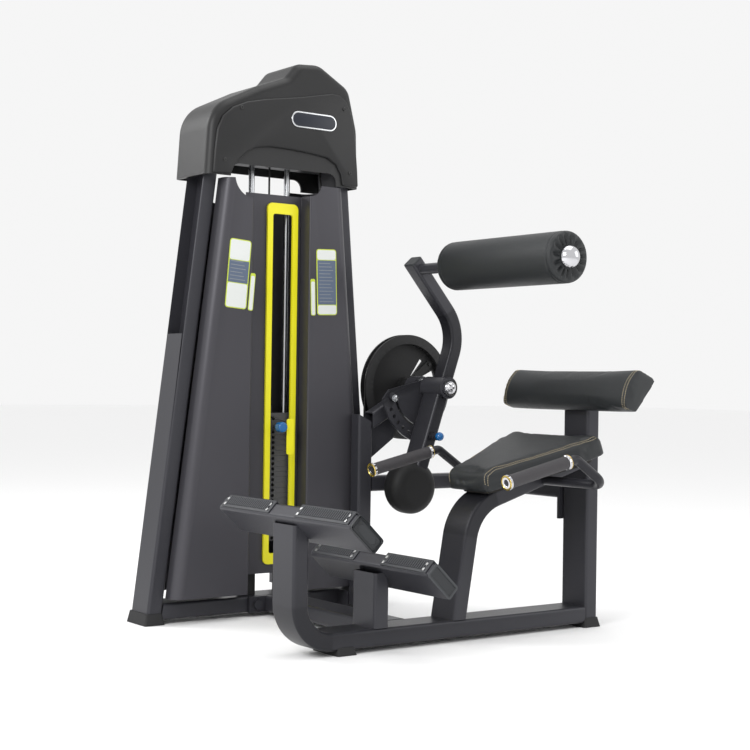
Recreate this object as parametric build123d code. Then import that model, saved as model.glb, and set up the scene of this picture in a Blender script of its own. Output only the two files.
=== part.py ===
from build123d import *
import math
import os

# Seated back extension machine, in millimetres. +Z is up, +X runs from the foot bars to the
# lumbar pad, +Y runs from the seat to the weight tower. The origin is on the floor, under the
# middle of the whole machine.

# frame tube
tube_wide = 100.0  # flat-sided frame tube, broad side
tube_thick = 46.0  # flat-sided frame tube, narrow side
tube_wall = 3.0
tube_round = 8.0  # outer corner radius of every frame tube
foot_height = 12.0  # rubber under the frame

# weight tower
tower_x = -140.0  # middle of the weight stack
tower_y = 426.0
tower_joint_z = 1250.0  # height at which the top span is measured
top_span_half = 251.0  # outer edge of an upright from tower_x, at tower_joint_z
left_foot_span = 409.0  # outer edge of the front upright from tower_x, at the floor
right_foot_span = 360.0  # outer edge of the rear upright from tower_x, at the floor
upright_top = 1356.0
beam_height = 46.0
cap_bottom = 1258.0
cap_depth = 194.0
cap_wall = 5.0

# shrouds
shroud_depth = 200.0  # over both shrouds, along Y
sheet = 2.0
shroud_bottom = 72.0
shroud_top = 1254.0
scoop_left = 62.0  # radius of the scooped inner corner at the top
scoop_right = 40.0
channel_left = tower_x - 112.0  # the recess that holds the window
channel_right = tower_x + 80.0
window_x = tower_x + 13.0
window_width = 70.0
window_bottom = 178.0
window_height = 990.0
bezel_side = 17.0
bezel_end = 30.0
bezel_thick = 7.0

# weight stack
plate_width = 190.0
plate_depth = 84.0
plate_thick = 15.0
plate_gap = 0.5
loose_plates = 21
held_plates = 1  # plates lifted by the selector pin
head_thick = 32.0
stack_bottom = 214.0
guide_half = 61.0
guide_diameter = 18.0
guide_clearance = 1.0
selector_diameter = 20.0
pin_diameter = 10.0
pin_reach = 52.0

# seat frame
seat_y = -222.0
front_post_x = -465.0
front_bend = 75.0
short_post_x = -220.0
back_post_x = 513.0
cross_tube_x = -120.0
arch_foot_x = 36.0
arch_lean = 9.6  # degrees from vertical
arch_bend = 130.0
seat_tilt = 17.0  # degrees, down to the front
seat_joint_z = 475.0  # middle of the seat tube where it meets the back post
link_z = 356.0
link_thick = 46.0
flange_thick = 10.0

# foot bars
foot_bar_tilt = 43.5  # degrees below level, towards the seat
upper_bar_x = -449.0
upper_bar_z = 330.0
upper_bar_half = 298.0
lower_bar_x = -189.0
lower_bar_z = 198.0
lower_bar_half = 258.0
bar_wide = 96.0
bar_thick = 42.0
tread_thick = 4.0
tread_length = 178.0
tread_gap = 58.0  # from the middle of the bar to the inner end of a tread
cap_plate = 4.0

# pads
seat_rear_half = 184.0
seat_front_half = 82.0
seat_length = 358.0
seat_thick = 56.0
seat_clear = 48.0  # from the back post to the seat pad
board_thick = 11.0
soft_gap = 0.3
lumbar_length = 504.0
lumbar_crown = 15.0

# handles
handle_diameter = 25.0
handle_half = 286.0  # from the middle of the seat to each grip
handle_bend = 46.0
grip_diameter = 34.0
grip_length = 196.0
grip_front_x = -16.0
grip_front_z = 435.0
grip_rear_x = 206.0
grip_rear_z = 486.0
handle_low_x = 330.0
handle_low_z = 418.0
ring_width = 9.0
ring_diameter = 38.0

# swing arm and cam
pivot_x = 325.0
pivot_z = 667.0
shaft_diameter = 30.0
shaft_clearance = 0.05
arm_near_y = 163.0
arm_deep = 76.0  # lower run
arm_deep_high = 50.0  # upper run
arm_thick = 42.0
arm_wall = 3.0
arm_lean_low = 19.0  # degrees, lower arm forward of straight down
arm_lean_high = 41.0  # degrees, upper arm forward of straight up
arm_bend = 130.0
hub_diameter = 66.0
roller_x = 233.0
roller_z = 1016.0
roller_diameter = 142.0
roller_half = 241.0
roller_shaft_diameter = 32.0
roller_dome = 33.0
counter_distance = 312.0
counter_diameter = 158.0
counter_thick = 84.0
counter_round = 33.0
sector_y = 250.0
sector_thick = 8.0
sector_outer = 170.0
sector_slot = 125.0
hole_circle = 152.0
hole_diameter = 12.0
hole_pitch = 9.0  # degrees between start positions
hole_count = 6
housing_y = 278.0
housing_long = 45.0
housing_diameter = 68.0
bearing_diameter = 52.0
bearing_width = 14.0
disc_y = 348.0
disc_width = 28.0
disc_radius = 155.0  # to the cable
disc_lip = 6.0
disc_web = 8.0
post_x = 92.0
post_wide = 50.0
post_top = 592.0

# cable and pulleys
cable_diameter = 6.0
low_pulley_radius = 40.0
low_pulley_z = 250.0
top_pulley_radius = 80.0
top_pulley_z = 1510.0
pulley_width = 16.0
pulley_lip = 5.0
pulley_wall = 3.0
axle_diameter = 12.0

half_wide = tube_wide / 2
half_thick = tube_thick / 2
near_y = tower_y - half_wide
far_y = tower_y + half_wide
base_top = foot_height + tube_thick
arm_mid_y = arm_near_y + arm_deep / 2
arm_far_y = arm_near_y + arm_deep
cable_y = disc_y + disc_width / 2
left_slope = (left_foot_span - top_span_half) / tower_joint_z
right_slope = (right_foot_span - top_span_half) / tower_joint_z

os.makedirs("parts", exist_ok=True)


def block(x0, x1, y0, y1, z0, z1):
    return Pos((x0 + x1) / 2, (y0 + y1) / 2, (z0 + z1) / 2) * Box(x1 - x0, y1 - y0, z1 - z0)


def y_rod(x, z, radius, y0, y1):
    return Pos(x, (y0 + y1) / 2, z) * Rot(90, 0, 0) * Cylinder(radius, y1 - y0)


def z_rod(x, y, radius, z0, z1):
    return Pos(x, y, (z0 + z1) / 2) * Cylinder(radius, z1 - z0)


def y_prism(points, y0, y1):
    face = make_face(Polyline(*[(x, y0, z) for x, z in points], close=True))
    return extrude(face, amount=y1 - y0, dir=(0, 1, 0))


def tube_section(wide, thick, wall, corner=tube_round):
    hole = RectangleRounded(wide - 2 * wall, thick - 2 * wall, max(corner - wall, 1.0))
    return RectangleRounded(wide, thick, corner) - hole


def straight_tube(start, end, wide, thick, wide_dir=(0, 1, 0), wall=tube_wall, solid=False):
    run = Vector(*end) - Vector(*start)
    plane = Plane(origin=start, x_dir=wide_dir, z_dir=run)
    section = RectangleRounded(wide, thick, tube_round) if solid else tube_section(wide, thick, wall)
    return extrude(plane * section, amount=run.length)


def bent_tube(points, radii, wide, thick, y, wall=tube_wall, solid=False):
    path = FilletPolyline(*[(x, y, z) for x, z in points], radius=radii)
    plane = Plane(origin=path @ 0, x_dir=(0, 1, 0), z_dir=path % 0)
    section = RectangleRounded(wide, thick, tube_round) if solid else tube_section(wide, thick, wall)
    return sweep(plane * section, path=path)


def upright(outer_foot, slope, side):
    # side is -1 for the front upright and +1 for the rear one; slope pulls the top inwards
    def edge(z):
        return tower_x + side * (outer_foot - slope * z)

    out0, out1 = edge(foot_height), edge(upright_top)
    inn0, inn1 = out0 - side * tube_thick, out1 - side * tube_thick
    body = y_prism([(out0, foot_height), (inn0, foot_height), (inn1, upright_top), (out1, upright_top)],
                   near_y, far_y)
    long_edges = body.edges().filter_by(lambda e: e.length > upright_top / 2)
    body = fillet(long_edges, tube_round)
    w = tube_wall * side
    hollow = y_prism([(out0 - w, 0), (inn0 + w, 0), (inn1 + w, upright_top + 50),
                      (out1 - w, upright_top + 50)],
                     near_y + tube_wall, far_y - tube_wall)
    return body - hollow


def outer_edge(z, side):
    if side < 0:
        return tower_x - left_foot_span + left_slope * z
    return tower_x + right_foot_span - right_slope * z


def build_tower_frame():
    left = upright(left_foot_span, left_slope, -1)
    right = upright(right_foot_span, right_slope, 1)
    z_mid = foot_height + half_thick
    x0 = outer_edge(z_mid, -1) + tube_thick
    x1 = outer_edge(z_mid, 1) - tube_thick
    base = straight_tube((x0 - 20, tower_y, z_mid), (x1 + 20, tower_y, z_mid), tube_wide, tube_thick)
    base = base - envelope(-1) - envelope(1)
    z_beam = upright_top - beam_height / 2
    bx0 = outer_edge(z_beam, -1)
    bx1 = outer_edge(z_beam, 1)
    beam = straight_tube((bx0, tower_y, z_beam), (bx1, tower_y, z_beam), tube_wide, beam_height)
    beam = beam - envelope(-1) - envelope(1)
    run = cable_points()
    slot_x, slot_y = run["beam_x"], run["beam_y"]
    for x, y in ((tower_x, tower_y), (slot_x, slot_y)):
        beam = beam - z_rod(x, y, cable_diameter * 2, z_beam - beam_height, z_beam + beam_height)
    for s in (-1, 1):
        rod_hole = z_rod(tower_x + s * guide_half, tower_y, guide_diameter / 2, 0,
                         upright_top - beam_height + 20)
        beam = beam - rod_hole
        base = base - z_rod(tower_x + s * guide_half, tower_y, guide_diameter / 2, base_top - 20, 400)
    return left, right, base, beam


def envelope(side):
    # the space inside the outline of an upright, used to trim what butts against it
    far_out = tower_x + side * 900
    z0, z1 = 0.0, upright_top + 60
    inner0 = outer_edge(z0, side) - side * tube_thick
    inner1 = outer_edge(z1, side) - side * tube_thick
    return y_prism([(far_out, z0), (inner0, z0), (inner1, z1), (far_out, z1)], near_y - 90, far_y + 90)


def cup_foot(x0, x1, y0, y1, flare, height):
    low = Plane.XY * Pos((x0 + x1) / 2, (y0 + y1) / 2) * RectangleRounded(x1 - x0 + 2 * flare,
                                                                          y1 - y0 + 2 * flare, 6)
    high = Plane.XY.offset(height) * Pos((x0 + x1) / 2, (y0 + y1) / 2) * RectangleRounded(x1 - x0 + 4,
            y1 - y0 + 4, 6)
    return loft([low.face(), high.face()])


def build_feet(solids):
    feet = []
    for side in (-1, 1):
        a = outer_edge(foot_height, side)
        b = a - side * tube_thick
        feet.append(cup_foot(min(a, b), max(a, b), near_y, far_y, 8, 32))
    front_x0 = front_post_x - half_thick + front_bend + 62
    feet.append(cup_foot(front_x0, front_x0 + 44, seat_y - half_wide, seat_y + half_wide, 8, 20))
    feet.append(cup_foot(back_post_x - half_thick, back_post_x + half_thick, seat_y - half_wide,
                         seat_y + half_wide, 8, 26))
    feet.append(cup_foot(post_x, post_x + post_wide, housing_y, housing_y + housing_long, 8, 20))
    out = []
    for foot in feet:
        for solid in solids:
            foot = foot - solid
        out.append(biggest(foot))
    return Compound(children=out)


def cable_points():
    pulley_x = tower_x + top_pulley_radius
    low_x = pivot_x - disc_radius - low_pulley_radius
    start = Vector(low_x - low_pulley_radius, cable_y, low_pulley_z)
    end = Vector(pulley_x + top_pulley_radius, tower_y, top_pulley_z)
    t = (upright_top - beam_height / 2 - start.Z) / (end.Z - start.Z)
    mid = start + (end - start) * t
    return dict(pulley_x=pulley_x, low_x=low_x, start=start, end=end, beam_x=mid.X, beam_y=mid.Y)


def bar_plane(x, z):
    # local x is the world Y, local y points up the broad face, away from the seat side
    a = math.radians(foot_bar_tilt)
    return Plane(origin=(x, seat_y, z), x_dir=(0, 1, 0), z_dir=(math.sin(a), 0, math.cos(a)))


def bar_body(x, z, half, solid=False):
    a = math.radians(foot_bar_tilt)
    down = (math.cos(a), 0, -math.sin(a))
    return straight_tube((x, seat_y - half, z), (x, seat_y + half, z), bar_wide, bar_thick, down,
                         tube_wall, solid)


def build_foot_bars():
    bars, caps, treads, screws = [], [], [], []
    for x, z, half in ((upper_bar_x, upper_bar_z, upper_bar_half),
                       (lower_bar_x, lower_bar_z, lower_bar_half)):
        bars.append(bar_body(x, z, half - cap_plate))
        plane = bar_plane(x, z)
        reach = half - tread_gap - 12
        for s in (-1, 1):
            cap = Pos(s * (half - cap_plate / 2), 0, 0) * Box(cap_plate, bar_wide - 2, bar_thick - 2)
            caps.append(plane * fillet(cap.edges().filter_by(Axis.X), tube_round - 1))
            mid = s * (tread_gap + reach / 2)
            top = Pos(mid, 0, bar_thick / 2 + tread_thick / 2) * Box(reach, bar_wide - 12, tread_thick)
            edge_y = bar_wide / 2 + tread_thick / 2
            lip = Pos(mid, edge_y, 2) * Box(reach, tread_thick, bar_thick - 8)
            corner = Pos(mid, bar_wide / 2 - 4, bar_thick / 2 - 4) * Box(reach, 16, 16)
            body = top + lip + corner
            outline = extrude(Plane.YZ * RectangleRounded(bar_wide, bar_thick, tube_round),
                              amount=half * 2, both=True)
            shell = extrude(Plane.YZ * RectangleRounded(bar_wide + 2 * tread_thick,
                                                        bar_thick + 2 * tread_thick,
                                                        tube_round + tread_thick), amount=half * 2, both=True)
            treads.append(plane * ((body & shell) - outline))
            for end in (-1, 1):
                for row in (-7, 9):
                    head = Pos(mid + end * (reach / 2 - 12), edge_y + tread_thick / 2 + 1, row) * Rot(90,
                            0, 0)
                    screws.append(plane * (head * Cylinder(4, 2)))
    return bars, Compound(children=caps), Compound(children=treads), Compound(children=screws)


def seat_line(x):
    # middle of the seat tube at x
    return seat_joint_z - (back_post_x - half_thick - x) * math.tan(math.radians(seat_tilt))


def build_seat_frame():
    z_mid = foot_height + half_thick
    back_face = back_post_x - half_thick
    bar_up = bar_body(upper_bar_x, upper_bar_z, upper_bar_half, True)
    bar_low = bar_body(lower_bar_x, lower_bar_z, lower_bar_half, True)
    base = bent_tube([(front_post_x, upper_bar_z), (front_post_x, z_mid), (back_face, z_mid)],
                     front_bend + half_thick, tube_wide, tube_thick, seat_y)
    base = base - bar_up
    base = base - block(front_post_x - 60, front_post_x + 90, seat_y - 60, seat_y + 60, upper_bar_z, 500)
    base = biggest(base)
    short = straight_tube((short_post_x, seat_y, base_top), (short_post_x, seat_y, lower_bar_z), tube_wide,
                          tube_thick)
    short = biggest(short - bar_low)
    back = straight_tube((back_post_x, seat_y, foot_height), (back_post_x, seat_y, 720), tube_wide,
                         tube_thick)
    back = back - lumbar_cut(board_thick)
    back = biggest(back)
    lean = math.tan(math.radians(arch_lean))
    rise = math.tan(math.radians(seat_tilt))
    corner_z = (seat_joint_z - (back_face - arch_foot_x + lean * base_top) * rise) / (1 - lean * rise)
    corner_x = arch_foot_x + lean * (corner_z - base_top)
    points = [(arch_foot_x - lean * 30, base_top - 30), (corner_x, corner_z),
              (back_face + 30, seat_joint_z + 30 * rise)]
    arch = bent_tube(points, arch_bend, tube_wide, tube_thick, seat_y)
    arch = arch - block(-200, 300, seat_y - 80, seat_y + 80, -100, base_top)
    arch = arch - block(back_face, back_face + 100, seat_y - 80, seat_y + 80, 300, 700)
    for s in (-1, 1):
        arch = arch - y_rod(handle_low_x, handle_low_z, handle_diameter / 2, seat_y + s * 60 - 20,
                            seat_y + s * 60 + 20)
    return base, short, back, biggest(arch)


def biggest(shape):
    return max(shape.solids(), key=lambda s: s.volume)


lumbar_front = [(back_post_x - 79.0, 621.0), (back_post_x - 28.0, 727.0)]
lumbar_back = [(back_post_x - 37.0, 608.0), (back_post_x + 39.0, 698.0)]


def lumbar_cut(depth):
    # everything above the rear face of the pad, moved back by depth
    (x0, z0), (x1, z1) = lumbar_back
    run = Vector(x1 - x0, 0, z1 - z0).normalized()
    out = Vector(run.Z, 0, -run.X) * depth
    a = Vector(x0, 0, z0) + out - run * 300
    b = Vector(x1, 0, z1) + out + run * 300
    up = Vector(-run.Z, 0, run.X) * 400
    pts = [(p.X, p.Z) for p in (a, b, b + up, a + up)]
    return y_prism(pts, seat_y - 120, seat_y + 120)


def build_pads():
    tilt = math.radians(seat_tilt)
    rear_x = back_post_x - half_thick - seat_clear
    top = half_thick / math.cos(tilt)
    origin = (rear_x, seat_y, seat_line(rear_x) + top)
    plane = Plane(origin=origin, x_dir=(-math.cos(tilt), 0, -math.sin(tilt)),
                  z_dir=(-math.sin(tilt), 0, math.cos(tilt)))

    def outline(inset):
        r, f, n = seat_rear_half - inset, seat_front_half - inset, seat_length - inset
        side = 90.0
        pts = [(inset, -r), (inset, r), (side, r - 6), (n, f), (n, -f), (side, -r + 6)]
        face = make_face(Polyline(*pts, close=True))
        return fillet(face.vertices(), 22)

    pad = extrude(plane.offset(board_thick + soft_gap) * outline(0), amount=seat_thick)
    top_edges = pad.faces().sort_by(lambda f: f.center().dot(Vector(*plane.z_dir)))[-1].edges()
    pad = fillet(top_edges, 18)
    board = extrude(plane * outline(26), amount=board_thick)
    (fx0, fz0), (fx1, fz1) = lumbar_front
    (bx0, bz0), (bx1, bz1) = lumbar_back
    run = Vector(bx1 - bx0, 0, bz1 - bz0).normalized()
    out = Vector(run.Z, 0, -run.X)
    bulge = ((fx0 + fx1) / 2 - lumbar_crown, (fz0 + fz1) / 2 + lumbar_crown / 2)
    y0 = seat_y - lumbar_length / 2
    front = ThreePointArc((fx0, y0, fz0), (bulge[0], y0, bulge[1]), (fx1, y0, fz1))
    rim = Polyline((fx1, y0, fz1), (bx1, y0, bz1), (bx0, y0, bz0), (fx0, y0, fz0))
    face = make_face(front + rim)
    lumbar = extrude(face, amount=lumbar_length, dir=(0, 1, 0))
    lumbar = fillet(lumbar.edges().filter_by(Axis.Y), 11)
    gap = out * soft_gap
    inner = [Vector(bx0, 0, bz0) + run * 14 + gap, Vector(bx1, 0, bz1) - run * 14 + gap]
    pts = [inner[0], inner[1], inner[1] + out * (board_thick - soft_gap),
           inner[0] + out * (board_thick - soft_gap)]
    back_board = y_prism([(p.X, p.Z) for p in pts], seat_y - lumbar_length / 2 + 40,
                         seat_y + lumbar_length / 2 - 40)
    return pad, lumbar, Compound(children=[board, back_board])


def build_handles():
    run = Vector(grip_rear_x - grip_front_x, 0, grip_rear_z - grip_front_z).normalized()
    tubes, grips, rings = [], [], []
    for s in (-1, 1):
        y = seat_y + s * handle_half
        front = Vector(grip_front_x, y, grip_front_z) + run * 2
        knee = Vector(grip_rear_x, y, grip_rear_z) + run * 16
        low = Vector(handle_low_x, y, handle_low_z)
        root = Vector(handle_low_x, seat_y + s * half_wide, handle_low_z)
        path = FilletPolyline(front, knee, low, root, radius=[20, handle_bend])
        plane = Plane(origin=path @ 0, z_dir=path % 0)
        tubes.append(sweep(plane * Circle(handle_diameter / 2), path=path))
        start = front + run * (ring_width - 2)
        grip_plane = Plane(origin=start, z_dir=run)
        ring = Circle(grip_diameter / 2) - Circle(handle_diameter / 2)
        grips.append(extrude(grip_plane * ring, amount=grip_length))
        for offset in (-ring_width, grip_length):
            band = Circle(ring_diameter / 2) - Circle(handle_diameter / 2)
            rings.append(extrude(Plane(origin=start + run * offset, z_dir=run) * band, amount=ring_width))
        plug = Plane(origin=start - run * ring_width, z_dir=run) * Circle(handle_diameter / 2)
        gap = (front - (start - run * ring_width)).length
        if gap > 0.01:
            rings.append(extrude(plug, amount=gap))
    return tubes, Compound(children=grips), Compound(children=rings)


def build_arm():
    low = math.radians(arm_lean_low)
    high = math.radians(arm_lean_high)
    # the upper run passes the roller axis, the lower one the pivot
    rx, rz = roller_x - pivot_x, roller_z - pivot_z
    # pivot + t*(sin low, cos low) meets roller + s*(sin high, -cos high)
    det = math.sin(low) * (-math.cos(high)) - math.cos(low) * math.sin(high)
    t = (rx * (-math.cos(high)) - rz * math.sin(high)) / det
    corner = (pivot_x + t * math.sin(low), pivot_z + t * math.cos(low))
    top = (roller_x - 28 * math.sin(high), roller_z + 28 * math.cos(high))
    end_t = counter_distance - counter_diameter / 2 + 24
    bottom = (pivot_x - end_t * math.sin(low), pivot_z - end_t * math.cos(low))
    collar = (pivot_x + 20 * math.sin(low), pivot_z + 20 * math.cos(low))
    high_y = arm_near_y + arm_deep_high / 2
    upper = bent_tube([top, corner, collar], arm_bend, arm_deep_high, arm_thick, high_y, arm_wall)
    lower_start = (collar[0], arm_mid_y, collar[1])
    lower = straight_tube(lower_start, (bottom[0], arm_mid_y, bottom[1]), arm_deep, arm_thick)
    solid = straight_tube(lower_start, (bottom[0], arm_mid_y, bottom[1]), arm_deep, arm_thick, solid=True)
    tube = upper + lower
    hub = y_rod(pivot_x, pivot_z, hub_diameter / 2, arm_near_y - 14, arm_far_y + 8)
    bore = y_rod(pivot_x, pivot_z, shaft_diameter / 2 + shaft_clearance, arm_near_y - 40, arm_far_y + 40)
    pin_x, pin_z = pin_place(0)
    barrel = y_rod(pin_x, pin_z, 12, arm_near_y - 22, arm_near_y + 1)
    pin_hole = y_rod(pin_x, pin_z, hole_diameter / 2, arm_near_y - 30, arm_far_y + 5)
    shaft_hole = y_rod(roller_x, roller_z, roller_shaft_diameter / 2, arm_near_y - 5,
                       arm_near_y + arm_deep_high - arm_wall)
    cx, cz = counter_place()
    arm = (tube - y_rod(pivot_x, pivot_z, hub_diameter / 2 - 1, arm_near_y - 1, arm_far_y + 1)) + hub
    arm = arm + barrel - bore - pin_hole - shaft_hole
    weight = y_rod(cx, cz, counter_diameter / 2, arm_mid_y - counter_thick / 2,
                   arm_mid_y + counter_thick / 2)
    weight = fillet(weight.edges(), counter_round)
    weight = weight - solid
    high_dir = Vector(-math.sin(high), 0, math.cos(high))
    plug_plane = Plane(origin=(top[0], high_y, top[1]), x_dir=(0, 1, 0), z_dir=high_dir)
    plug = extrude(plug_plane * RectangleRounded(arm_deep_high - 1, arm_thick - 1, tube_round - 1),
                   amount=5)
    plug = fillet(plug.faces().sort_by(lambda f: f.center().dot(high_dir))[-1].edges(), 3)
    neck = extrude(plug_plane * RectangleRounded(arm_deep_high - 2 * arm_wall - 0.4,
                                                 arm_thick - 2 * arm_wall - 0.4,
                                                 tube_round - arm_wall), amount=-10)
    return arm, weight, plug + neck


def counter_place():
    low = math.radians(arm_lean_low)
    return pivot_x - counter_distance * math.sin(low), pivot_z - counter_distance * math.cos(low)


def pin_place(step):
    a = math.radians(270 - arm_lean_low - step * hole_pitch)
    return pivot_x + hole_circle * math.cos(a), pivot_z + hole_circle * math.sin(a)


def build_sector():
    first = 270 - arm_lean_low + 5
    last = first - 64
    pts = []
    plane = Plane(origin=(pivot_x, sector_y, pivot_z), x_dir=(1, 0, 0), z_dir=(0, -1, 0))

    def polar(r, deg):
        return (r * math.cos(math.radians(deg)), r * math.sin(math.radians(deg)))

    mid = (first + last) / 2
    rim = ThreePointArc(polar(sector_outer, first), polar(sector_outer, mid), polar(sector_outer, last))
    inner = Polyline(polar(sector_outer, last), polar(sector_outer - 26, last - 9), polar(26, last - 100),
                     polar(26, first + 60), polar(sector_outer, first))
    plate = extrude(plane * make_face(rim + inner), amount=-sector_thick)
    plate = plate + y_rod(pivot_x, pivot_z, 28, sector_y, sector_y + sector_thick)
    plate = plate - y_rod(pivot_x, pivot_z, shaft_diameter / 2, sector_y - 5, sector_y + 20)
    for i in range(hole_count):
        x, z = pin_place(i)
        plate = plate - y_rod(x, z, hole_diameter / 2, sector_y - 5, sector_y + 20)
    arc = CenterArc((0, 0), sector_slot, last + 6, 46)
    slot = extrude(plane.offset(10) * SlotArc(arc, 9), amount=-40)
    plate = plate - slot
    bx, bz = polar(138, last - 1)
    boss = y_rod(pivot_x + bx, pivot_z + bz, 11, sector_y - 6, sector_y)
    return plate + boss


def build_cam():
    y0, y1 = disc_y, disc_y + disc_width
    groove = disc_radius - cable_diameter / 2
    disc = y_rod(pivot_x, pivot_z, groove, y0, y1)
    lip_wide = (disc_width - pulley_width) / 2
    for a, b in ((y0, y0 + lip_wide), (y1 - lip_wide, y1)):
        disc = disc + y_rod(pivot_x, pivot_z, disc_radius + disc_lip, a, b)
    rim_in = disc_radius - 22
    disc = disc - y_rod(pivot_x, pivot_z, rim_in, y0 - 1, y1 - disc_web)
    disc = disc + y_rod(pivot_x, pivot_z, 30, y0 - 6, y1)
    disc = disc - y_rod(pivot_x, pivot_z, shaft_diameter / 2, y0 - 20, y1 + 20)
    plane = Plane(origin=(pivot_x, y1 + 10, pivot_z), x_dir=(1, 0, 0), z_dir=(0, -1, 0))

    def window(r0, r1, a0, a1):
        ring = Circle(r1) - Circle(r0)
        far = 2 * r1
        mid = math.radians((a0 + a1) / 2)
        wedge = make_face(Polyline((0, 0), (far * math.cos(math.radians(a0)),
                                            far * math.sin(math.radians(a0))),
                                   (far * math.cos(mid), far * math.sin(mid)),
                                   (far * math.cos(math.radians(a1)),
                                    far * math.sin(math.radians(a1))), close=True))
        return extrude(plane * (ring & wedge), amount=40)

    bar_angle = 38.0
    disc = disc - window(42, 122, bar_angle - 36, bar_angle - 12)
    disc = disc - window(42, 108, bar_angle + 11, bar_angle + 18)
    shaft = y_rod(pivot_x, pivot_z, shaft_diameter / 2, arm_near_y - 22, y1 + 4)
    a = math.radians(bar_angle)
    bar_plane_near = Plane(origin=(pivot_x, y1 - disc_web, pivot_z), x_dir=(math.cos(a), 0, math.sin(a)),
                           z_dir=(0, -1, 0))
    bar = extrude(bar_plane_near * (Pos(83, 0) * SlotOverall(84, 22)), amount=6)
    for x in (50, 116):
        bar = bar + bar_plane_near * Pos(x, 0, 8) * Cylinder(5, 5)
    face = arm_near_y - 14
    dome = Pos(pivot_x, face - 4, pivot_z) * Sphere(19)
    dome = dome & block(pivot_x - 30, pivot_x + 30, face - 60, face - 8, pivot_z - 30, pivot_z + 30)
    cap = dome + y_rod(pivot_x, pivot_z, 25, face - 8, face)
    cap = cap - y_rod(pivot_x, pivot_z, shaft_diameter / 2, face - 8, face + 8)
    return disc, shaft, bar, cap


def build_bearings():
    y0, y1 = housing_y, housing_y + housing_long
    tube = y_rod(pivot_x, pivot_z, housing_diameter / 2, y0, y1)
    tube = tube - y_rod(pivot_x, pivot_z, bearing_diameter / 2, y0 - 1, y0 + bearing_width)
    tube = tube - y_rod(pivot_x, pivot_z, bearing_diameter / 2, y1 - bearing_width, y1 + 1)
    tube = tube - y_rod(pivot_x, pivot_z, bearing_diameter / 2 - 5, y0 - 1, y1 + 1)
    rings = []
    for a in (y0, y1 - bearing_width):
        ring = y_rod(pivot_x, pivot_z, bearing_diameter / 2, a, a + bearing_width)
        rings.append(ring - y_rod(pivot_x, pivot_z, shaft_diameter / 2 + shaft_clearance, a - 1,
                                  a + bearing_width + 1))
    return tube, Compound(children=rings)


def build_mechanism_stand():
    y0, y1 = housing_y, housing_y + housing_long
    y_mid = (y0 + y1) / 2
    x_mid = post_x + post_wide / 2
    post = straight_tube((x_mid, y_mid, foot_height), (x_mid, y_mid, post_top), housing_long, post_wide)
    slope = y_prism([(post_x - 5, post_top - 4), (post_x - 5, post_top + 60),
                     (post_x + post_wide + 5, post_top + 60),
                     (post_x + post_wide + 5, post_top - 34)], y0 - 5, y1 + 5)
    post = post - slope
    tie = block(post_x, post_x + post_wide, y1, near_y, foot_height, base_top)
    start = (post_x + post_wide - 30, y_mid, post_top - 44)
    brace = straight_tube(start, (pivot_x, y_mid, pivot_z), housing_long, tube_thick)
    brace = brace - block(post_x - 100, post_x + post_wide, y0 - 5, y1 + 5, 0, 900)
    brace = brace - y_rod(pivot_x, pivot_z, housing_diameter / 2, y0 - 5, y1 + 5)
    brace = biggest(brace)
    edge = post_x + post_wide
    gusset = y_prism([(edge, 450), (edge, 560), (edge + 130, 640), (edge + 88, 512)], y_mid - 5, y_mid + 5)
    solid = straight_tube(start, (pivot_x, y_mid, pivot_z), housing_long, tube_thick, solid=True)
    gusset = biggest(gusset - solid)
    return post + tie, brace + gusset


def build_links():
    y_side = housing_y + housing_long / 2
    z_mid = link_z + link_thick / 2
    x_end = back_post_x + half_thick
    side = straight_tube((post_x + post_wide, y_side, z_mid), (x_end, y_side, z_mid), housing_long,
                         link_thick)
    y_flange = seat_y + half_wide
    cross = straight_tube((back_post_x, y_flange + flange_thick, z_mid), (back_post_x, housing_y, z_mid),
                          tube_thick,
                          link_thick, (1, 0, 0))
    flange = block(back_post_x - 34, back_post_x + 34, y_flange, y_flange + flange_thick, link_z - 58,
                   link_z + 66)
    bolts = []
    for s, z in ((-1, link_z - 44), (1, link_z - 44), (-1, link_z + 54), (1, link_z + 54)):
        bolts.append(y_rod(back_post_x + s * 18, z, 7, y_flange + flange_thick,
                           y_flange + flange_thick + 8))
    cross_y0, cross_y1 = seat_y + half_wide, near_y
    base = straight_tube((cross_tube_x, cross_y0, foot_height + half_thick),
                         (cross_tube_x, cross_y1 - flange_thick,
                          foot_height + half_thick), tube_wide, tube_thick, (1, 0, 0))
    joint = block(cross_tube_x - 104, cross_tube_x + 104, cross_y1 - flange_thick, cross_y1, foot_height,
                  base_top)
    for s in (-1, 1):
        bolts.append(y_rod(cross_tube_x + s * 78, foot_height + half_thick, 14,
                           cross_y1 - flange_thick - 12,
                           cross_y1 - flange_thick))
    return side + cross, base, Compound(children=[flange, joint] + bolts)


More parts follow.
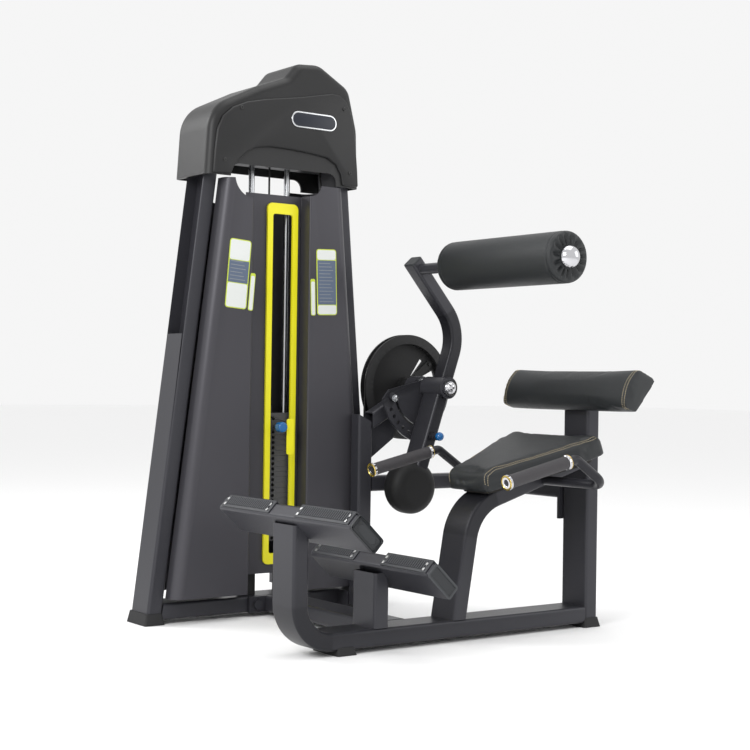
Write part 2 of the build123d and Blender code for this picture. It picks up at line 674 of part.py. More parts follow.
def build_stack():
    x0, x1 = tower_x - plate_width / 2, tower_x + plate_width / 2
    y0, y1 = tower_y - plate_depth / 2, tower_y + plate_depth / 2
    pitch = plate_thick + plate_gap
    rod_r = guide_diameter / 2

    def plate(z, thick, sel):
        body = block(x0, x1, y0, y1, z, z + thick)
        body = chamfer(body.edges().filter_by(Axis.Z), 4)
        for s in (-1, 1):
            body = body - z_rod(tower_x + s * guide_half, tower_y, rod_r + guide_clearance, z - 1,
                                z + thick + 1)
        body = body - z_rod(tower_x, tower_y, sel, z - 1, z + thick + 1)
        return body - y_rod(tower_x, z + thick / 2, pin_diameter / 2 + 0.6, y0 - 1, tower_y)

    sel_r = selector_diameter / 2
    plates = [plate(stack_bottom + i * pitch, plate_thick,
                    sel_r + guide_clearance) for i in range(loose_plates)]
    held_z = stack_bottom + loose_plates * pitch
    held = [plate(held_z + i * pitch, plate_thick, sel_r) for i in range(held_plates)]
    head_z = held_z + held_plates * pitch
    head = plate(head_z, head_thick, sel_r)
    head = head + z_rod(tower_x, tower_y, 17, head_z + head_thick, head_z + head_thick + 22)
    head = head - z_rod(tower_x, tower_y, sel_r, head_z, head_z + head_thick + 30)
    rod_bottom = stack_bottom - 30
    rod_top = head_z + head_thick + 34
    rod = z_rod(tower_x, tower_y, sel_r, rod_bottom, rod_top)
    pin_z = held_z + plate_thick / 2
    for i in range(loose_plates + held_plates):
        z = stack_bottom + i * pitch + plate_thick / 2
        rod = rod - y_rod(tower_x, z, pin_diameter / 2 + 0.6, tower_y - 30, tower_y + 30)
    pin = y_rod(tower_x, pin_z, pin_diameter / 2, y0 - 30, y0 - 30 + pin_reach + 20)
    knob = fillet(y_rod(tower_x, pin_z, 15, y0 - 56, y0 - 30).edges(), 5)
    tag = block(tower_x + 18, tower_x + 42, y0 - 46, y0 - 43, pin_z - 80, pin_z + 24)
    tag = fillet(tag.edges().filter_by(Axis.Y), 6)
    arm = block(tower_x + 10, tower_x + 20, y0 - 46, y0 - 43, pin_z - 5, pin_z + 5)
    tag = tag + arm - y_rod(tower_x, pin_z, 15, y0 - 70, y0)
    rods, bumpers = [], []
    for s in (-1, 1):
        x = tower_x + s * guide_half
        rods.append(z_rod(x, tower_y, rod_r, base_top - 20, upright_top - beam_height + 20))
        bump = z_rod(x, tower_y, 27, base_top, stack_bottom - plate_gap) - z_rod(x, tower_y, rod_r, 0,
                stack_bottom)
        bumpers.append(bump)
    return dict(plates=Compound(children=plates), head=Compound(children=held + [head]), rod=rod,
                pin=pin + knob,
                tag=tag, rods=Compound(children=rods), bumpers=Compound(children=bumpers),
                cable_bottom=rod_top,
                pin_z=pin_z, head_z=head_z, front=y0)


def build_pulleys():
    run = cable_points()

    def wheel(x, y, z, radius):
        ya, yb = y - pulley_width / 2, y + pulley_width / 2
        body = y_rod(x, z, radius - cable_diameter / 2, ya, yb)
        for a, b in ((ya, ya + pulley_wall), (yb - pulley_wall, yb)):
            body = body + y_rod(x, z, radius + pulley_lip, a, b)
        return body - y_rod(x, z, axle_diameter / 2 + shaft_clearance, ya - 1, yb + 1)

    top = wheel(run["pulley_x"], tower_y, top_pulley_z, top_pulley_radius)
    low = wheel(run["low_x"], cable_y, low_pulley_z, low_pulley_radius)
    px = run["pulley_x"]
    beam_top = upright_top
    cheeks = []
    for s in (-1, 1):
        ya = tower_y + s * 14
        yb = tower_y + s * 20
        cheek = y_prism([(px - 50, beam_top), (px + 50, beam_top), (px + 24, top_pulley_z + 20),
                         (px - 24, top_pulley_z + 20)],
                        min(ya, yb), max(ya, yb))
        cheeks.append(cheek)
    axle = y_rod(px, top_pulley_z, axle_diameter / 2, tower_y - 24, tower_y + 24)
    holder = cheeks[0] + cheeks[1] + axle
    lx = run["low_x"]
    plate = block(lx - 24, outer_edge(low_pulley_z, 1) - 6, near_y - 5, near_y, low_pulley_z - 34,
                  low_pulley_z + 34)
    stub = y_rod(lx, low_pulley_z, axle_diameter / 2, cable_y - 12, near_y - 5)
    return top, low, Compound(children=[holder, plate + stub])


def build_cables(stack):
    run = cable_points()
    r = cable_diameter / 2
    disc = CenterArc((0, 0), disc_radius, 100, 80)
    plane = Plane(origin=(pivot_x, cable_y, pivot_z), x_dir=(1, 0, 0), z_dir=(0, -1, 0))
    arcs = [plane * disc]
    low_plane = Plane(origin=(run["low_x"], cable_y, low_pulley_z), x_dir=(1, 0, 0), z_dir=(0, -1, 0))
    arcs.append(low_plane * CenterArc((0, 0), low_pulley_radius, 180, 180))
    top_plane = Plane(origin=(run["pulley_x"], tower_y, top_pulley_z), x_dir=(1, 0, 0), z_dir=(0, -1, 0))
    arcs.append(top_plane * CenterArc((0, 0), top_pulley_radius, 0, 180))
    pieces = []
    for arc in arcs:
        pieces.append(sweep(Plane(origin=arc @ 0, z_dir=arc % 0) * Circle(r), path=arc))
    drop = z_rod(pivot_x - disc_radius, cable_y, r, low_pulley_z, pivot_z)
    start, end = run["start"], run["end"]
    rise = extrude(Plane(origin=start, z_dir=end - start) * Circle(r), amount=(end - start).length)
    drive = drop + pieces[1] + rise + pieces[2]
    stack_run = z_rod(tower_x, tower_y, r, stack["cable_bottom"], top_pulley_z)
    return pieces[0], drive, stack_run


def build_lanyard(stack):
    y = stack["front"]
    top = stack["head_z"] + head_thick / 2
    pts = [(tower_x - 12, y - 1, top + 4), (tower_x - 9, y - 14, top + 3), (tower_x + 5, y - 25, top - 2),
           (tower_x + 20, y - 33, top - 9), (tower_x + 32, y - 41, top - 12)]
    radii = []
    for a, b, c in zip(pts, pts[1:], pts[2:]):
        u, v = Vector(*b) - Vector(*a), Vector(*c) - Vector(*b)
        turn = math.radians(u.get_angle(v))
        radii.append(0.45 * min(u.length, v.length) / math.tan(turn / 2))
    path = FilletPolyline(*pts, radius=radii)
    print("lanyard radii", [round(r, 1) for r in radii], "length", round(path.length, 1))
    cord = sweep(Plane(origin=path @ 0, z_dir=path % 0) * Circle(2), path=path)
    print("lanyard volume", round(cord.volume, 1), "of", round(math.pi * 4 * path.length, 1))
    return cord


def tray(side, y_face, y_back, wall_depth):
    # one shroud wing: a flat face with a rounded outer corner and returns on both sides
    inner = channel_left if side < 0 else channel_right
    gap = 3.0

    def outer(z):
        return outer_edge(z, side) - side * (tube_thick + gap)

    z0, z1 = shroud_bottom, shroud_top
    body = y_prism([(outer(z0), z0), (inner, z0), (inner, z1), (outer(z1), z1)], min(y_face, y_back),
                   max(y_face, y_back))
    long_edges = body.edges().filter_by(lambda e: e.length > z1 / 2)
    face_edges = long_edges.filter_by(lambda e: abs(e.center().Y - y_face) < 0.1)
    by_x = face_edges.sort_by(lambda e: abs(e.center().X - inner))
    body = fillet(by_x[-1], 30)
    long_edges = body.edges().filter_by(lambda e: e.length > z1 / 2)
    face_edges = long_edges.filter_by(lambda e: abs(e.center().Y - y_face) < 0.1)
    by_x = face_edges.sort_by(lambda e: abs(e.center().X - inner))
    body = fillet(by_x[0], 5)
    s = sheet * side
    d = sheet if y_back > y_face else -sheet
    hollow = y_prism([(outer(z0) - s, z0 - 5), (inner + s, z0 - 5), (inner + s, z1 + 5),
                      (outer(z1) - s, z1 + 5)],
                     min(y_face + d, y_back + 5 * d), max(y_face + d, y_back + 5 * d))
    hollow_edges = hollow.edges().filter_by(lambda e: e.length > z1 / 2)
    near_edges = hollow_edges.filter_by(lambda e: abs(e.center().Y - y_face - d) < 0.1)
    by_x = near_edges.sort_by(lambda e: abs(e.center().X - inner))
    hollow = fillet(by_x[-1], 30 - sheet)
    hollow_edges = hollow.edges().filter_by(lambda e: e.length > z1 / 2)
    near_edges = hollow_edges.filter_by(lambda e: abs(e.center().Y - y_face - d) < 0.1)
    by_x = near_edges.sort_by(lambda e: abs(e.center().X - inner))
    hollow = fillet(by_x[0], 5 - sheet)
    scoop = scoop_left if side < 0 else scoop_right
    body = body - hollow - y_rod(inner, z1 + 8, scoop, min(y_face, y_back) - 5, max(y_face, y_back) + 5)
    if wall_depth < abs(y_back - y_face):
        y_cut = y_face + (wall_depth if y_back > y_face else -wall_depth)
        pts = [(outer(z0) - side * 40, z0 - 5), (outer(z0) + side * 40, z0 - 5),
               (outer(z1) + side * 40, z1 + 5),
               (outer(z1) - side * 40, z1 + 5)]
        body = body - y_prism(pts, min(y_cut, y_back + d), max(y_cut, y_back + d))
    return body


def build_shrouds():
    face = tower_y - shroud_depth / 2
    left = tray(-1, face, near_y, 200)
    right = tray(1, face, near_y, 24)
    panel_top = shroud_top - 32
    panel_bottom = 122.0
    window_top = window_bottom + window_height
    panel = block(channel_left + sheet + 0.3, channel_right - sheet - 0.3, near_y - sheet, near_y,
                  panel_bottom, panel_top)
    hole = block(window_x - window_width / 2, window_x + window_width / 2, near_y - 10, near_y + 10,
                 window_bottom, window_top)
    panel = panel - hole
    side = bezel_side
    outer = Plane.XZ * Pos(window_x, (window_bottom + window_top) / 2) * RectangleRounded(
        window_width + 2 * side, window_height + 2 * bezel_end, 16)
    inner = Plane.XZ * Pos(window_x, (window_bottom + window_top) / 2) * RectangleRounded(
        window_width - 2, window_height - 2, 8)
    bezel = extrude(outer - inner, amount=bezel_thick)
    bezel = Pos(0, near_y - sheet, 0) * bezel
    back = tower_y + shroud_depth / 2
    rear = tray(-1, back, far_y, 200) + tray(1, back, far_y, 200)
    rear = rear + block(channel_left - sheet, channel_right + sheet, far_y, far_y + sheet, panel_bottom,
                        panel_top)
    return left, right, panel, bezel, rear


def cap_outline(inset):
    left_x = outer_edge(cap_bottom, -1) - 15
    right_x = outer_edge(cap_bottom, 1) + 8
    hump_x = tower_x + top_pulley_radius
    line = [(left_x, cap_bottom), (left_x + 12, 1448), (tower_x - 92, 1526), (hump_x - 82, 1560),
            (hump_x - 44, 1606),
            (hump_x + 34, 1612), (right_x - 38, 1552), (right_x - 6, 1430), (right_x, cap_bottom)]
    face = make_face(Polyline(*line, close=True))
    radii = [0, 105, 120, 30, 40, 60, 50, 120, 0]
    for (x, z), r in zip(line, radii):
        if r:
            corner = face.vertices().sort_by(lambda v: (v.X - x) ** 2 + (v.Y - z) ** 2)[0]
            face = fillet(corner, r)
    if inset:
        face = offset(face, amount=-inset)
    return face


def build_cap():
    y0 = tower_y - cap_depth / 2
    plane = Plane(origin=(0, y0, 0), x_dir=(1, 0, 0), z_dir=(0, -1, 0))
    body = extrude(plane * cap_outline(0), amount=-cap_depth)
    rims = body.edges().filter_by(lambda e: abs(e.center().Z - cap_bottom) > 1 and not is_along_y(e))
    body = fillet(rims, 24)
    inner = extrude(plane.offset(-cap_wall) * cap_outline(cap_wall), amount=-(cap_depth - 2 * cap_wall))
    inner_rims = inner.edges().filter_by(lambda e: e.center().Z > cap_bottom + 20 and not is_along_y(e))
    inner = fillet(inner_rims, 24 - cap_wall)
    x0, x1 = outer_edge(cap_bottom, -1) - 3, outer_edge(cap_bottom, 1) + 3
    inner = inner + block(x0, x1, y0 + cap_wall, y0 + cap_depth - cap_wall, cap_bottom - 10,
                          cap_bottom + 40)
    left, right = tower_x - 187.0, tower_x + 172.0
    arch = block(left, right, y0 - 5, y0 + cap_depth + 5, cap_bottom - 40, 1294)
    arch = fillet(arch.edges().filter_by(Axis.Y).filter_by(lambda e: e.center().Z > 1280), 28)
    return body - inner - arch


def is_along_y(edge):
    d = edge % 0.5
    return abs(d.Y) > 0.9


def build_roller():
    r = roller_shaft_diameter / 2
    y0, y1 = seat_y - roller_half, seat_y + roller_half
    shaft = y_rod(roller_x, roller_z, r, y0 - 6, arm_near_y + arm_deep_high - arm_wall)
    pad = y_rod(roller_x, roller_z, roller_diameter / 2, y0, y1)
    pad = fillet(pad.edges(), 14)
    pad = pad - y_rod(roller_x, roller_z, r + shaft_clearance, y0 - 5, y1 + 5)
    dome = Pos(roller_x, y0 + 10, roller_z) * Sphere(roller_dome)
    dome = dome & block(roller_x - 40, roller_x + 40, y0 - 40, y0 - 0.5, roller_z - 40, roller_z + 40)
    dome = dome - y_rod(roller_x, roller_z, r, y0 - 6, y0 + 5)
    return shaft, pad, dome


def build_pop_pin():
    x, z = pin_place(0)
    pin = y_rod(x, z, 5.5, arm_near_y - 30, sector_y + sector_thick)
    knob = Pos(x, arm_near_y - 36, z) * Sphere(13)
    return pin + knob


def save(name, shape):
    export_step(shape, f"parts/{name}.step")


def main():
    left, right, base, beam = build_tower_frame()
    seat_base, short_post, back_post, arch = build_seat_frame()
    stand, brace = build_mechanism_stand()
    links, cross, joints = build_links()
    save("tower_upright_front", left)
    save("tower_upright_rear", right)
    save("tower_base_tube", base)
    save("tower_top_beam", beam)
    feet = build_feet([left, right, base, seat_base, back_post, stand])
    save("floor_feet", feet)
    save("seat_base_tube", seat_base)
    save("foot_bar_post", short_post)
    save("back_post", back_post)
    save("seat_arch_tube", arch)
    save("mechanism_post", stand)
    save("mechanism_brace", brace)
    save("link_frame", links)
    save("base_cross_tube", cross)
    save("joint_plates", joints)
    bars, caps, treads, screws = build_foot_bars()
    save("foot_bar_upper", bars[0])
    save("foot_bar_lower", bars[1])
    save("foot_bar_caps", caps)
    save("foot_treads", treads)
    save("tread_screws", screws)
    pad, lumbar, boards = build_pads()
    save("seat_pad", pad)
    save("lumbar_pad", lumbar)
    save("pad_boards", boards)
    tubes, grips, rings = build_handles()
    save("handle_near", tubes[0])
    save("handle_far", tubes[1])
    save("handle_grips", grips)
    save("grip_rings", rings)
    arm, weight, plug = build_arm()
    save("swing_arm", arm)
    save("counterweight", weight)
    save("arm_plug", plug)
    save("sector_plate", build_sector())
    disc, shaft, bar, cap = build_cam()
    save("cam_disc", disc)
    save("pivot_shaft", shaft)
    save("cam_crossbar", bar)
    save("pivot_cap", cap)
    housing, bearings = build_bearings()
    save("bearing_housing", housing)
    save("pivot_bearings", bearings)
    roller_shaft, roller, dome = build_roller()
    save("roller_shaft", roller_shaft)
    save("roller_pad", roller)
    save("roller_end_cap", dome)
    save("pop_pin", build_pop_pin())
    stack = build_stack()
    save("weight_plates", stack["plates"])
    save("stack_head", stack["head"])
    save("selector_rod", stack["rod"])
    save("selector_pin", stack["pin"])
    save("pin_tag", stack["tag"])
    save("guide_rods", stack["rods"])
    save("stack_bumpers", stack["bumpers"])
    top, low, holders = build_pulleys()
    save("top_pulley", top)
    save("low_pulley", low)
    save("pulley_brackets", holders)
    wound, drive, stack_run = build_cables(stack)
    save("wound_cable", wound)
    save("drive_cable", drive)
    save("stack_cable", stack_run)
    save("pin_lanyard", build_lanyard(stack))
    shrouds = build_shrouds()
    for name, shape in zip(("shroud_front_left", "shroud_front_right", "window_panel", "window_bezel",
                            "shroud_rear"), shrouds):
        save(name, shape)
    save("tower_cap", build_cap())


main()
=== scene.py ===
import bpy
import math
import numpy as np
from mathutils import Matrix, Vector


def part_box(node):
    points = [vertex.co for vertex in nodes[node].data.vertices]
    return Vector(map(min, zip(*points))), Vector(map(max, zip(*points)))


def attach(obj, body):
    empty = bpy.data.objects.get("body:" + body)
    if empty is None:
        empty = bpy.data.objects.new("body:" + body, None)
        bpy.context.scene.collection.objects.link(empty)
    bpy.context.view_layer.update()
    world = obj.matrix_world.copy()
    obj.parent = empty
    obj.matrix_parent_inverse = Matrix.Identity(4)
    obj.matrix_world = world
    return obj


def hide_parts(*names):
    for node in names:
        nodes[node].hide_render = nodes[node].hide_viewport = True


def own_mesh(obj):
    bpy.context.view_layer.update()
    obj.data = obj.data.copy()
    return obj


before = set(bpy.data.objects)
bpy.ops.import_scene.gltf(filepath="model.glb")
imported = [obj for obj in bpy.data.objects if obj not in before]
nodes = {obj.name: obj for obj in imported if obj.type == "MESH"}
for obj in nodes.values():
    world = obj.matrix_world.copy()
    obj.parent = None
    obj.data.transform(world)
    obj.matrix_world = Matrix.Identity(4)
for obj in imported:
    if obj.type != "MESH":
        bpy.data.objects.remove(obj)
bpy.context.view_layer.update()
print("frame loaded:", len(nodes), "nodes")


# small helpers

def deselectAll():
    if bpy.context.object and bpy.context.object.mode != "OBJECT":
        bpy.ops.object.mode_set(mode="OBJECT")
    bpy.ops.object.select_all(action="DESELECT")


def pick(obj):
    deselectAll()
    obj.select_set(True)
    bpy.context.view_layer.objects.active = obj
    return obj


def settle(obj):
    # leaves the piece at the world origin with its place in its mesh
    pick(obj)
    bpy.ops.object.transform_apply(location=True, rotation=True, scale=True)
    return obj


def applyAll(obj):
    pick(obj)
    for mod in list(obj.modifiers):
        bpy.ops.object.modifier_apply(modifier=mod.name)
    return obj


def smooth(obj, degrees=35):
    pick(obj)
    bpy.ops.object.shade_smooth_by_angle(angle=math.radians(degrees))
    return obj


def slab(name, low, high, bevel=0.0, segments=2):
    # a block between two corners with rounded edges
    deselectAll()
    middle = [(a + b) / 2 for a, b in zip(low, high)]
    size = [b - a for a, b in zip(low, high)]
    bpy.ops.mesh.primitive_cube_add(size=1, location=middle)
    obj = bpy.context.object
    obj.name = name
    obj.scale = size
    settle(obj)
    if bevel:
        bpy.ops.object.mode_set(mode="EDIT")
        bpy.ops.mesh.select_all(action="SELECT")
        bpy.ops.mesh.bevel(offset=bevel, segments=segments, affect="EDGES")
        bpy.ops.object.mode_set(mode="OBJECT")
    return obj


def joinAll(pieces, name):
    deselectAll()
    for piece in pieces:
        piece.select_set(True)
    bpy.context.view_layer.objects.active = pieces[0]
    bpy.ops.object.join()
    obj = bpy.context.object
    obj.name = name
    return obj


def nodeCopy(node, name):
    # a free copy of a CAD node with its own mesh
    obj = nodes[node].copy()
    obj.data = nodes[node].data.copy()
    obj.name = name
    obj.parent = None
    for key in list(obj.keys()):
        del obj[key]
    bpy.context.scene.collection.objects.link(obj)
    return obj


def vertsOf(obj):
    flat = np.empty(len(obj.data.vertices) * 3)
    obj.data.vertices.foreach_get("co", flat)
    return flat.reshape(-1, 3)


def normalsOf(obj):
    flat = np.empty(len(obj.data.vertices) * 3)
    obj.data.vertices.foreach_get("normal", flat)
    return flat.reshape(-1, 3)


def setVerts(obj, co):
    obj.data.vertices.foreach_set("co", co.ravel())
    obj.data.update()


def coat(obj, mat):
    obj.data.materials.clear()
    obj.data.materials.append(mat)
    return obj


# shared effects

def grainGroup():
    # fine surface grain: a height for the bump and a mask that varies the roughness
    group = bpy.data.node_groups.new("surfaceGrain", "ShaderNodeTree")
    face = group.interface
    face.new_socket("grainScale", in_out="INPUT", socket_type="NodeSocketFloat").default_value = 900
    face.new_socket("patchScale", in_out="INPUT", socket_type="NodeSocketFloat").default_value = 6
    face.new_socket("height", in_out="OUTPUT", socket_type="NodeSocketFloat")
    face.new_socket("patches", in_out="OUTPUT", socket_type="NodeSocketFloat")
    n, link = group.nodes, group.links.new
    gin, gout = n.new("NodeGroupInput"), n.new("NodeGroupOutput")
    place = n.new("ShaderNodeTexCoord")
    fine = n.new("ShaderNodeTexNoise")
    fine.inputs["Detail"].default_value = 3
    broad = n.new("ShaderNodeTexNoise")
    broad.inputs["Detail"].default_value = 4
    link(place.outputs["Object"], fine.inputs["Vector"])
    link(place.outputs["Object"], broad.inputs["Vector"])
    link(gin.outputs["grainScale"], fine.inputs["Scale"])
    link(gin.outputs["patchScale"], broad.inputs["Scale"])
    link(fine.outputs["Fac"], gout.inputs["height"])
    link(broad.outputs["Fac"], gout.inputs["patches"])
    return group


def edgeGroup():
    # a mask that is 1 on worn convex edges
    group = bpy.data.node_groups.new("edgeRub", "ShaderNodeTree")
    face = group.interface
    face.new_socket("from", in_out="INPUT", socket_type="NodeSocketFloat").default_value = 0.52
    face.new_socket("to", in_out="INPUT", socket_type="NodeSocketFloat").default_value = 0.60
    face.new_socket("mask", in_out="OUTPUT", socket_type="NodeSocketFloat")
    n, link = group.nodes, group.links.new
    gin, gout = n.new("NodeGroupInput"), n.new("NodeGroupOutput")
    geo = n.new("ShaderNodeNewGeometry")
    ramp = n.new("ShaderNodeMapRange")
    link(geo.outputs["Pointiness"], ramp.inputs["Value"])
    link(gin.outputs["from"], ramp.inputs["From Min"])
    link(gin.outputs["to"], ramp.inputs["From Max"])
    link(ramp.outputs["Result"], gout.inputs["mask"])
    return group


surfaceGrain = grainGroup()
edgeRub = edgeGroup()


def finishOf(name, base, rough, metal=0.0, vary=0.12, grain=900, patch=6, bump=0.15, bumpDepth=0.0004,
             rub=0.0, coatWeight=0.0, specular=0.5, pattern=None):
    mat = bpy.data.materials.new(name)
    mat.use_nodes = True
    n, link = mat.node_tree.nodes, mat.node_tree.links.new
    shader = n["Principled BSDF"]
    shader.inputs["Roughness"].default_value = rough
    shader.inputs["Metallic"].default_value = metal
    shader.inputs["Coat Weight"].default_value = coatWeight
    shader.inputs["Specular IOR Level"].default_value = specular
    grainNode = n.new("ShaderNodeGroup")
    grainNode.node_tree = surfaceGrain
    grainNode.inputs["grainScale"].default_value = grain
    grainNode.inputs["patchScale"].default_value = patch
    tone = n.new("ShaderNodeMixRGB")
    tone.inputs["Color1"].default_value = [c * (1 - vary) for c in base] + [1]
    tone.inputs["Color2"].default_value = [min(1, c * (1 + vary)) for c in base] + [1]
    link(grainNode.outputs["patches"], tone.inputs["Fac"])
    last = tone.outputs["Color"]
    if rub:
        edge = n.new("ShaderNodeGroup")
        edge.node_tree = edgeRub
        strength = n.new("ShaderNodeMath")
        strength.operation = "MULTIPLY"
        strength.inputs[1].default_value = rub
        link(edge.outputs["mask"], strength.inputs[0])
        worn = n.new("ShaderNodeMixRGB")
        worn.inputs["Color2"].default_value = [min(1, c * 3 + 0.03) for c in base] + [1]
        link(strength.outputs[0], worn.inputs["Fac"])
        link(last, worn.inputs["Color1"])
        last = worn.outputs["Color"]
    link(last, shader.inputs["Base Color"])
    spread = n.new("ShaderNodeMapRange")
    spread.inputs["To Min"].default_value = max(0.02, rough - 0.06)
    spread.inputs["To Max"].default_value = min(1, rough + 0.06)
    link(grainNode.outputs["patches"], spread.inputs["Value"])
    link(spread.outputs["Result"], shader.inputs["Roughness"])
    height = grainNode.outputs["height"]
    if pattern:
        height = pattern(n, link, height)
    dent = n.new("ShaderNodeBump")
    dent.inputs["Strength"].default_value = bump
    dent.inputs["Distance"].default_value = bumpDepth
    link(height, dent.inputs["Height"])
    link(dent.outputs["Normal"], shader.inputs["Normal"])
    return mat


def vinylCells(n, link, height):
    # small leather-like cells with soft creases between them
    place = n.new("ShaderNodeTexCoord")
    cells = n.new("ShaderNodeTexVoronoi")
    cells.feature = "DISTANCE_TO_EDGE"
    cells.inputs["Scale"].default_value = 420
    creases = n.new("ShaderNodeMapRange")
    creases.inputs["From Max"].default_value = 0.25
    both = n.new("ShaderNodeMath")
    both.operation = "MULTIPLY_ADD"
    both.inputs[1].default_value = 0.35
    link(place.outputs["Object"], cells.inputs["Vector"])
    link(cells.outputs["Distance"], creases.inputs["Value"])
    link(height, both.inputs[0])
    link(creases.outputs["Result"], both.inputs[2])
    return both.outputs[0]


def gripDiamonds(n, link, height):
    # crossed diagonal bands round the grips
    place = n.new("ShaderNodeTexCoord")
    total = height
    for angle in (35, -35):
        turn = n.new("ShaderNodeMapping")
        turn.inputs["Rotation"].default_value = (math.radians(angle), math.radians(angle), 0)
        band = n.new("ShaderNodeTexWave")
        band.inputs["Scale"].default_value = 160
        add = n.new("ShaderNodeMath")
        add.operation = "ADD"
        link(place.outputs["Object"], turn.inputs["Vector"])
        link(turn.outputs["Vector"], band.inputs["Vector"])
        link(band.outputs["Fac"], add.inputs[0])
        link(total, add.inputs[1])
        total = add.outputs[0]
    return total


# finishes

finishes = {
    "framePaint": dict(base=(0.017, 0.017, 0.021), rough=0.36, metal=0.2, grain=1500, patch=3, bump=0.25,
                       rub=0.35, specular=0.32),
    "armPaint": dict(base=(0.019, 0.019, 0.023), rough=0.33, metal=0.2, grain=1500, patch=4, bump=0.22,
                     rub=0.4, specular=0.32),
    "shroudPaint": dict(base=(0.036, 0.035, 0.041), rough=0.40, metal=0.35, grain=1800, patch=1.6,
                        bump=0.2, rub=0.2, specular=0.42),
    "castBlack": dict(base=(0.011, 0.011, 0.0115), rough=0.55, grain=420, patch=14, bump=0.35, rub=0.2,
                      specular=0.28),
    "capPlastic": dict(base=(0.0125, 0.0125, 0.013), rough=0.42, grain=1100, patch=5, bump=0.4, rub=0.15,
                       specular=0.34),
    "panelPlastic": dict(base=(0.0135, 0.0135, 0.014), rough=0.40, grain=1300, patch=7, bump=0.3, rub=0.15,
                         specular=0.34),
    "endPlastic": dict(base=(0.026, 0.028, 0.031), rough=0.5, grain=800, patch=12, bump=0.3, rub=0.3,
                       specular=0.35),
    "treadPlastic": dict(base=(0.021, 0.022, 0.025), rough=0.52, grain=900, patch=18, bump=0.4, rub=0.5,
                         specular=0.35),
    "footRubber": dict(base=(0.022, 0.022, 0.023), rough=0.7, grain=700, patch=15, bump=0.5, specular=0.3),
    "bumperRubber": dict(base=(0.012, 0.012, 0.012), rough=0.75, grain=500, patch=12, bump=0.4),
    "padVinyl": dict(base=(0.0125, 0.0145, 0.0160), rough=0.46, grain=1500, patch=7, bump=0.3,
                     bumpDepth=0.0006,
                     specular=0.45, pattern=vinylCells),
    "thread": dict(base=(0.62, 0.52, 0.33), rough=0.7, grain=2500, patch=40, bump=0.4),
    "boardBlack": dict(base=(0.020, 0.018, 0.016), rough=0.8, grain=300, patch=9, bump=0.4),
    "gripRubber": dict(base=(0.040, 0.037, 0.041), rough=0.62, grain=1200, patch=20, bump=0.5,
                       bumpDepth=0.0006,
                       pattern=gripDiamonds),
    "goldChrome": dict(base=(0.60, 0.60, 0.62), rough=0.12, metal=1.0, vary=0.05, grain=900, patch=25,
                       bump=0.03),
    "brightSteel": dict(base=(0.56, 0.57, 0.59), rough=0.24, metal=1.0, grain=1400, patch=30, bump=0.06),
    "zinc": dict(base=(0.66, 0.66, 0.66), rough=0.3, metal=1.0, grain=1400, patch=60, bump=0.1),
    "goldBead": dict(base=(0.72, 0.54, 0.16), rough=0.22, metal=1.0, vary=0.05, grain=900, patch=25,
                     bump=0.03),
    "knobBlue": dict(base=(0.002, 0.110, 0.330), rough=0.16, vary=0.06, grain=600, patch=30, bump=0.04,
                     coatWeight=0.4),
    "stackIron": dict(base=(0.020, 0.020, 0.021), rough=0.42, grain=900, patch=18, bump=0.3, rub=0.6),
    "yellowGloss": dict(base=(0.80, 0.74, 0.010), rough=0.32, vary=0.04, grain=900, patch=10, bump=0.08),
    "nylon": dict(base=(0.020, 0.020, 0.020), rough=0.4, grain=900, patch=25, bump=0.15),
    "cableSheath": dict(base=(0.016, 0.016, 0.016), rough=0.25, grain=1500, patch=30, bump=0.1),
    "cardWhite": dict(base=(0.66, 0.68, 0.66), rough=0.4, vary=0.03, grain=900, patch=20, bump=0.03),
    "cardEdge": dict(base=(0.50, 0.60, 0.05), rough=0.4, vary=0.05, grain=900, patch=20, bump=0.03),
    "cardBlue": dict(base=(0.09, 0.12, 0.18), rough=0.4, vary=0.06, grain=900, patch=20, bump=0.03),
    "cardGrey": dict(base=(0.20, 0.22, 0.24), rough=0.4, vary=0.1, grain=900, patch=30, bump=0.03),
    "badgeBlue": dict(base=(0.004, 0.007, 0.016), rough=0.35, vary=0.1, grain=500, patch=30, bump=0.03,
                      coatWeight=0.0),
    "badgeRim": dict(base=(0.70, 0.71, 0.73), rough=0.2, metal=1.0, grain=900, patch=30, bump=0.04),
}
mats = {name: finishOf(name, **values) for name, values in finishes.items()}

cadFinish = {
    "framePaint": ["tower_upright_front", "tower_upright_rear", "tower_base_tube", "tower_top_beam",
                   "seat_base_tube",
                   "foot_bar_post", "back_post", "seat_arch_tube", "mechanism_post",
                   "mechanism_brace", "link_frame",
                   "base_cross_tube", "joint_plates", "foot_bar_upper", "foot_bar_lower",
                   "handle_near", "handle_far"],
    "armPaint": ["swing_arm", "sector_plate", "bearing_housing", "roller_shaft"],
    "castBlack": ["cam_disc", "cam_crossbar", "counterweight"],
    "footRubber": ["floor_feet"],
    "endPlastic": ["foot_bar_caps", "arm_plug"],
    "treadPlastic": ["foot_treads"],
    "zinc": ["tread_screws"],
    "padVinyl": ["seat_pad", "lumbar_pad", "roller_pad"],
    "boardBlack": ["pad_boards"],
    "gripRubber": ["handle_grips"],
    "goldChrome": ["pivot_cap", "roller_end_cap", "grip_rings"],
    "brightSteel": ["pivot_shaft", "pivot_bearings", "guide_rods", "selector_rod", "pulley_brackets",
                    "pop_pin", "selector_pin"],
    "stackIron": ["weight_plates", "stack_head"],
    "yellowGloss": ["pin_tag", "window_bezel", "pin_lanyard"],
    "bumperRubber": ["stack_bumpers"],
    "nylon": ["top_pulley", "low_pulley"],
    "cableSheath": ["wound_cable", "drive_cable", "stack_cable"],
    "shroudPaint": ["shroud_front_left", "shroud_front_right", "window_panel", "shroud_rear"],
    "capPlastic": ["tower_cap"],
}
for finishName, names in cadFinish.items():
    for name in names:
        coat(nodes[name], mats[finishName])
        smooth(nodes[name], 28)


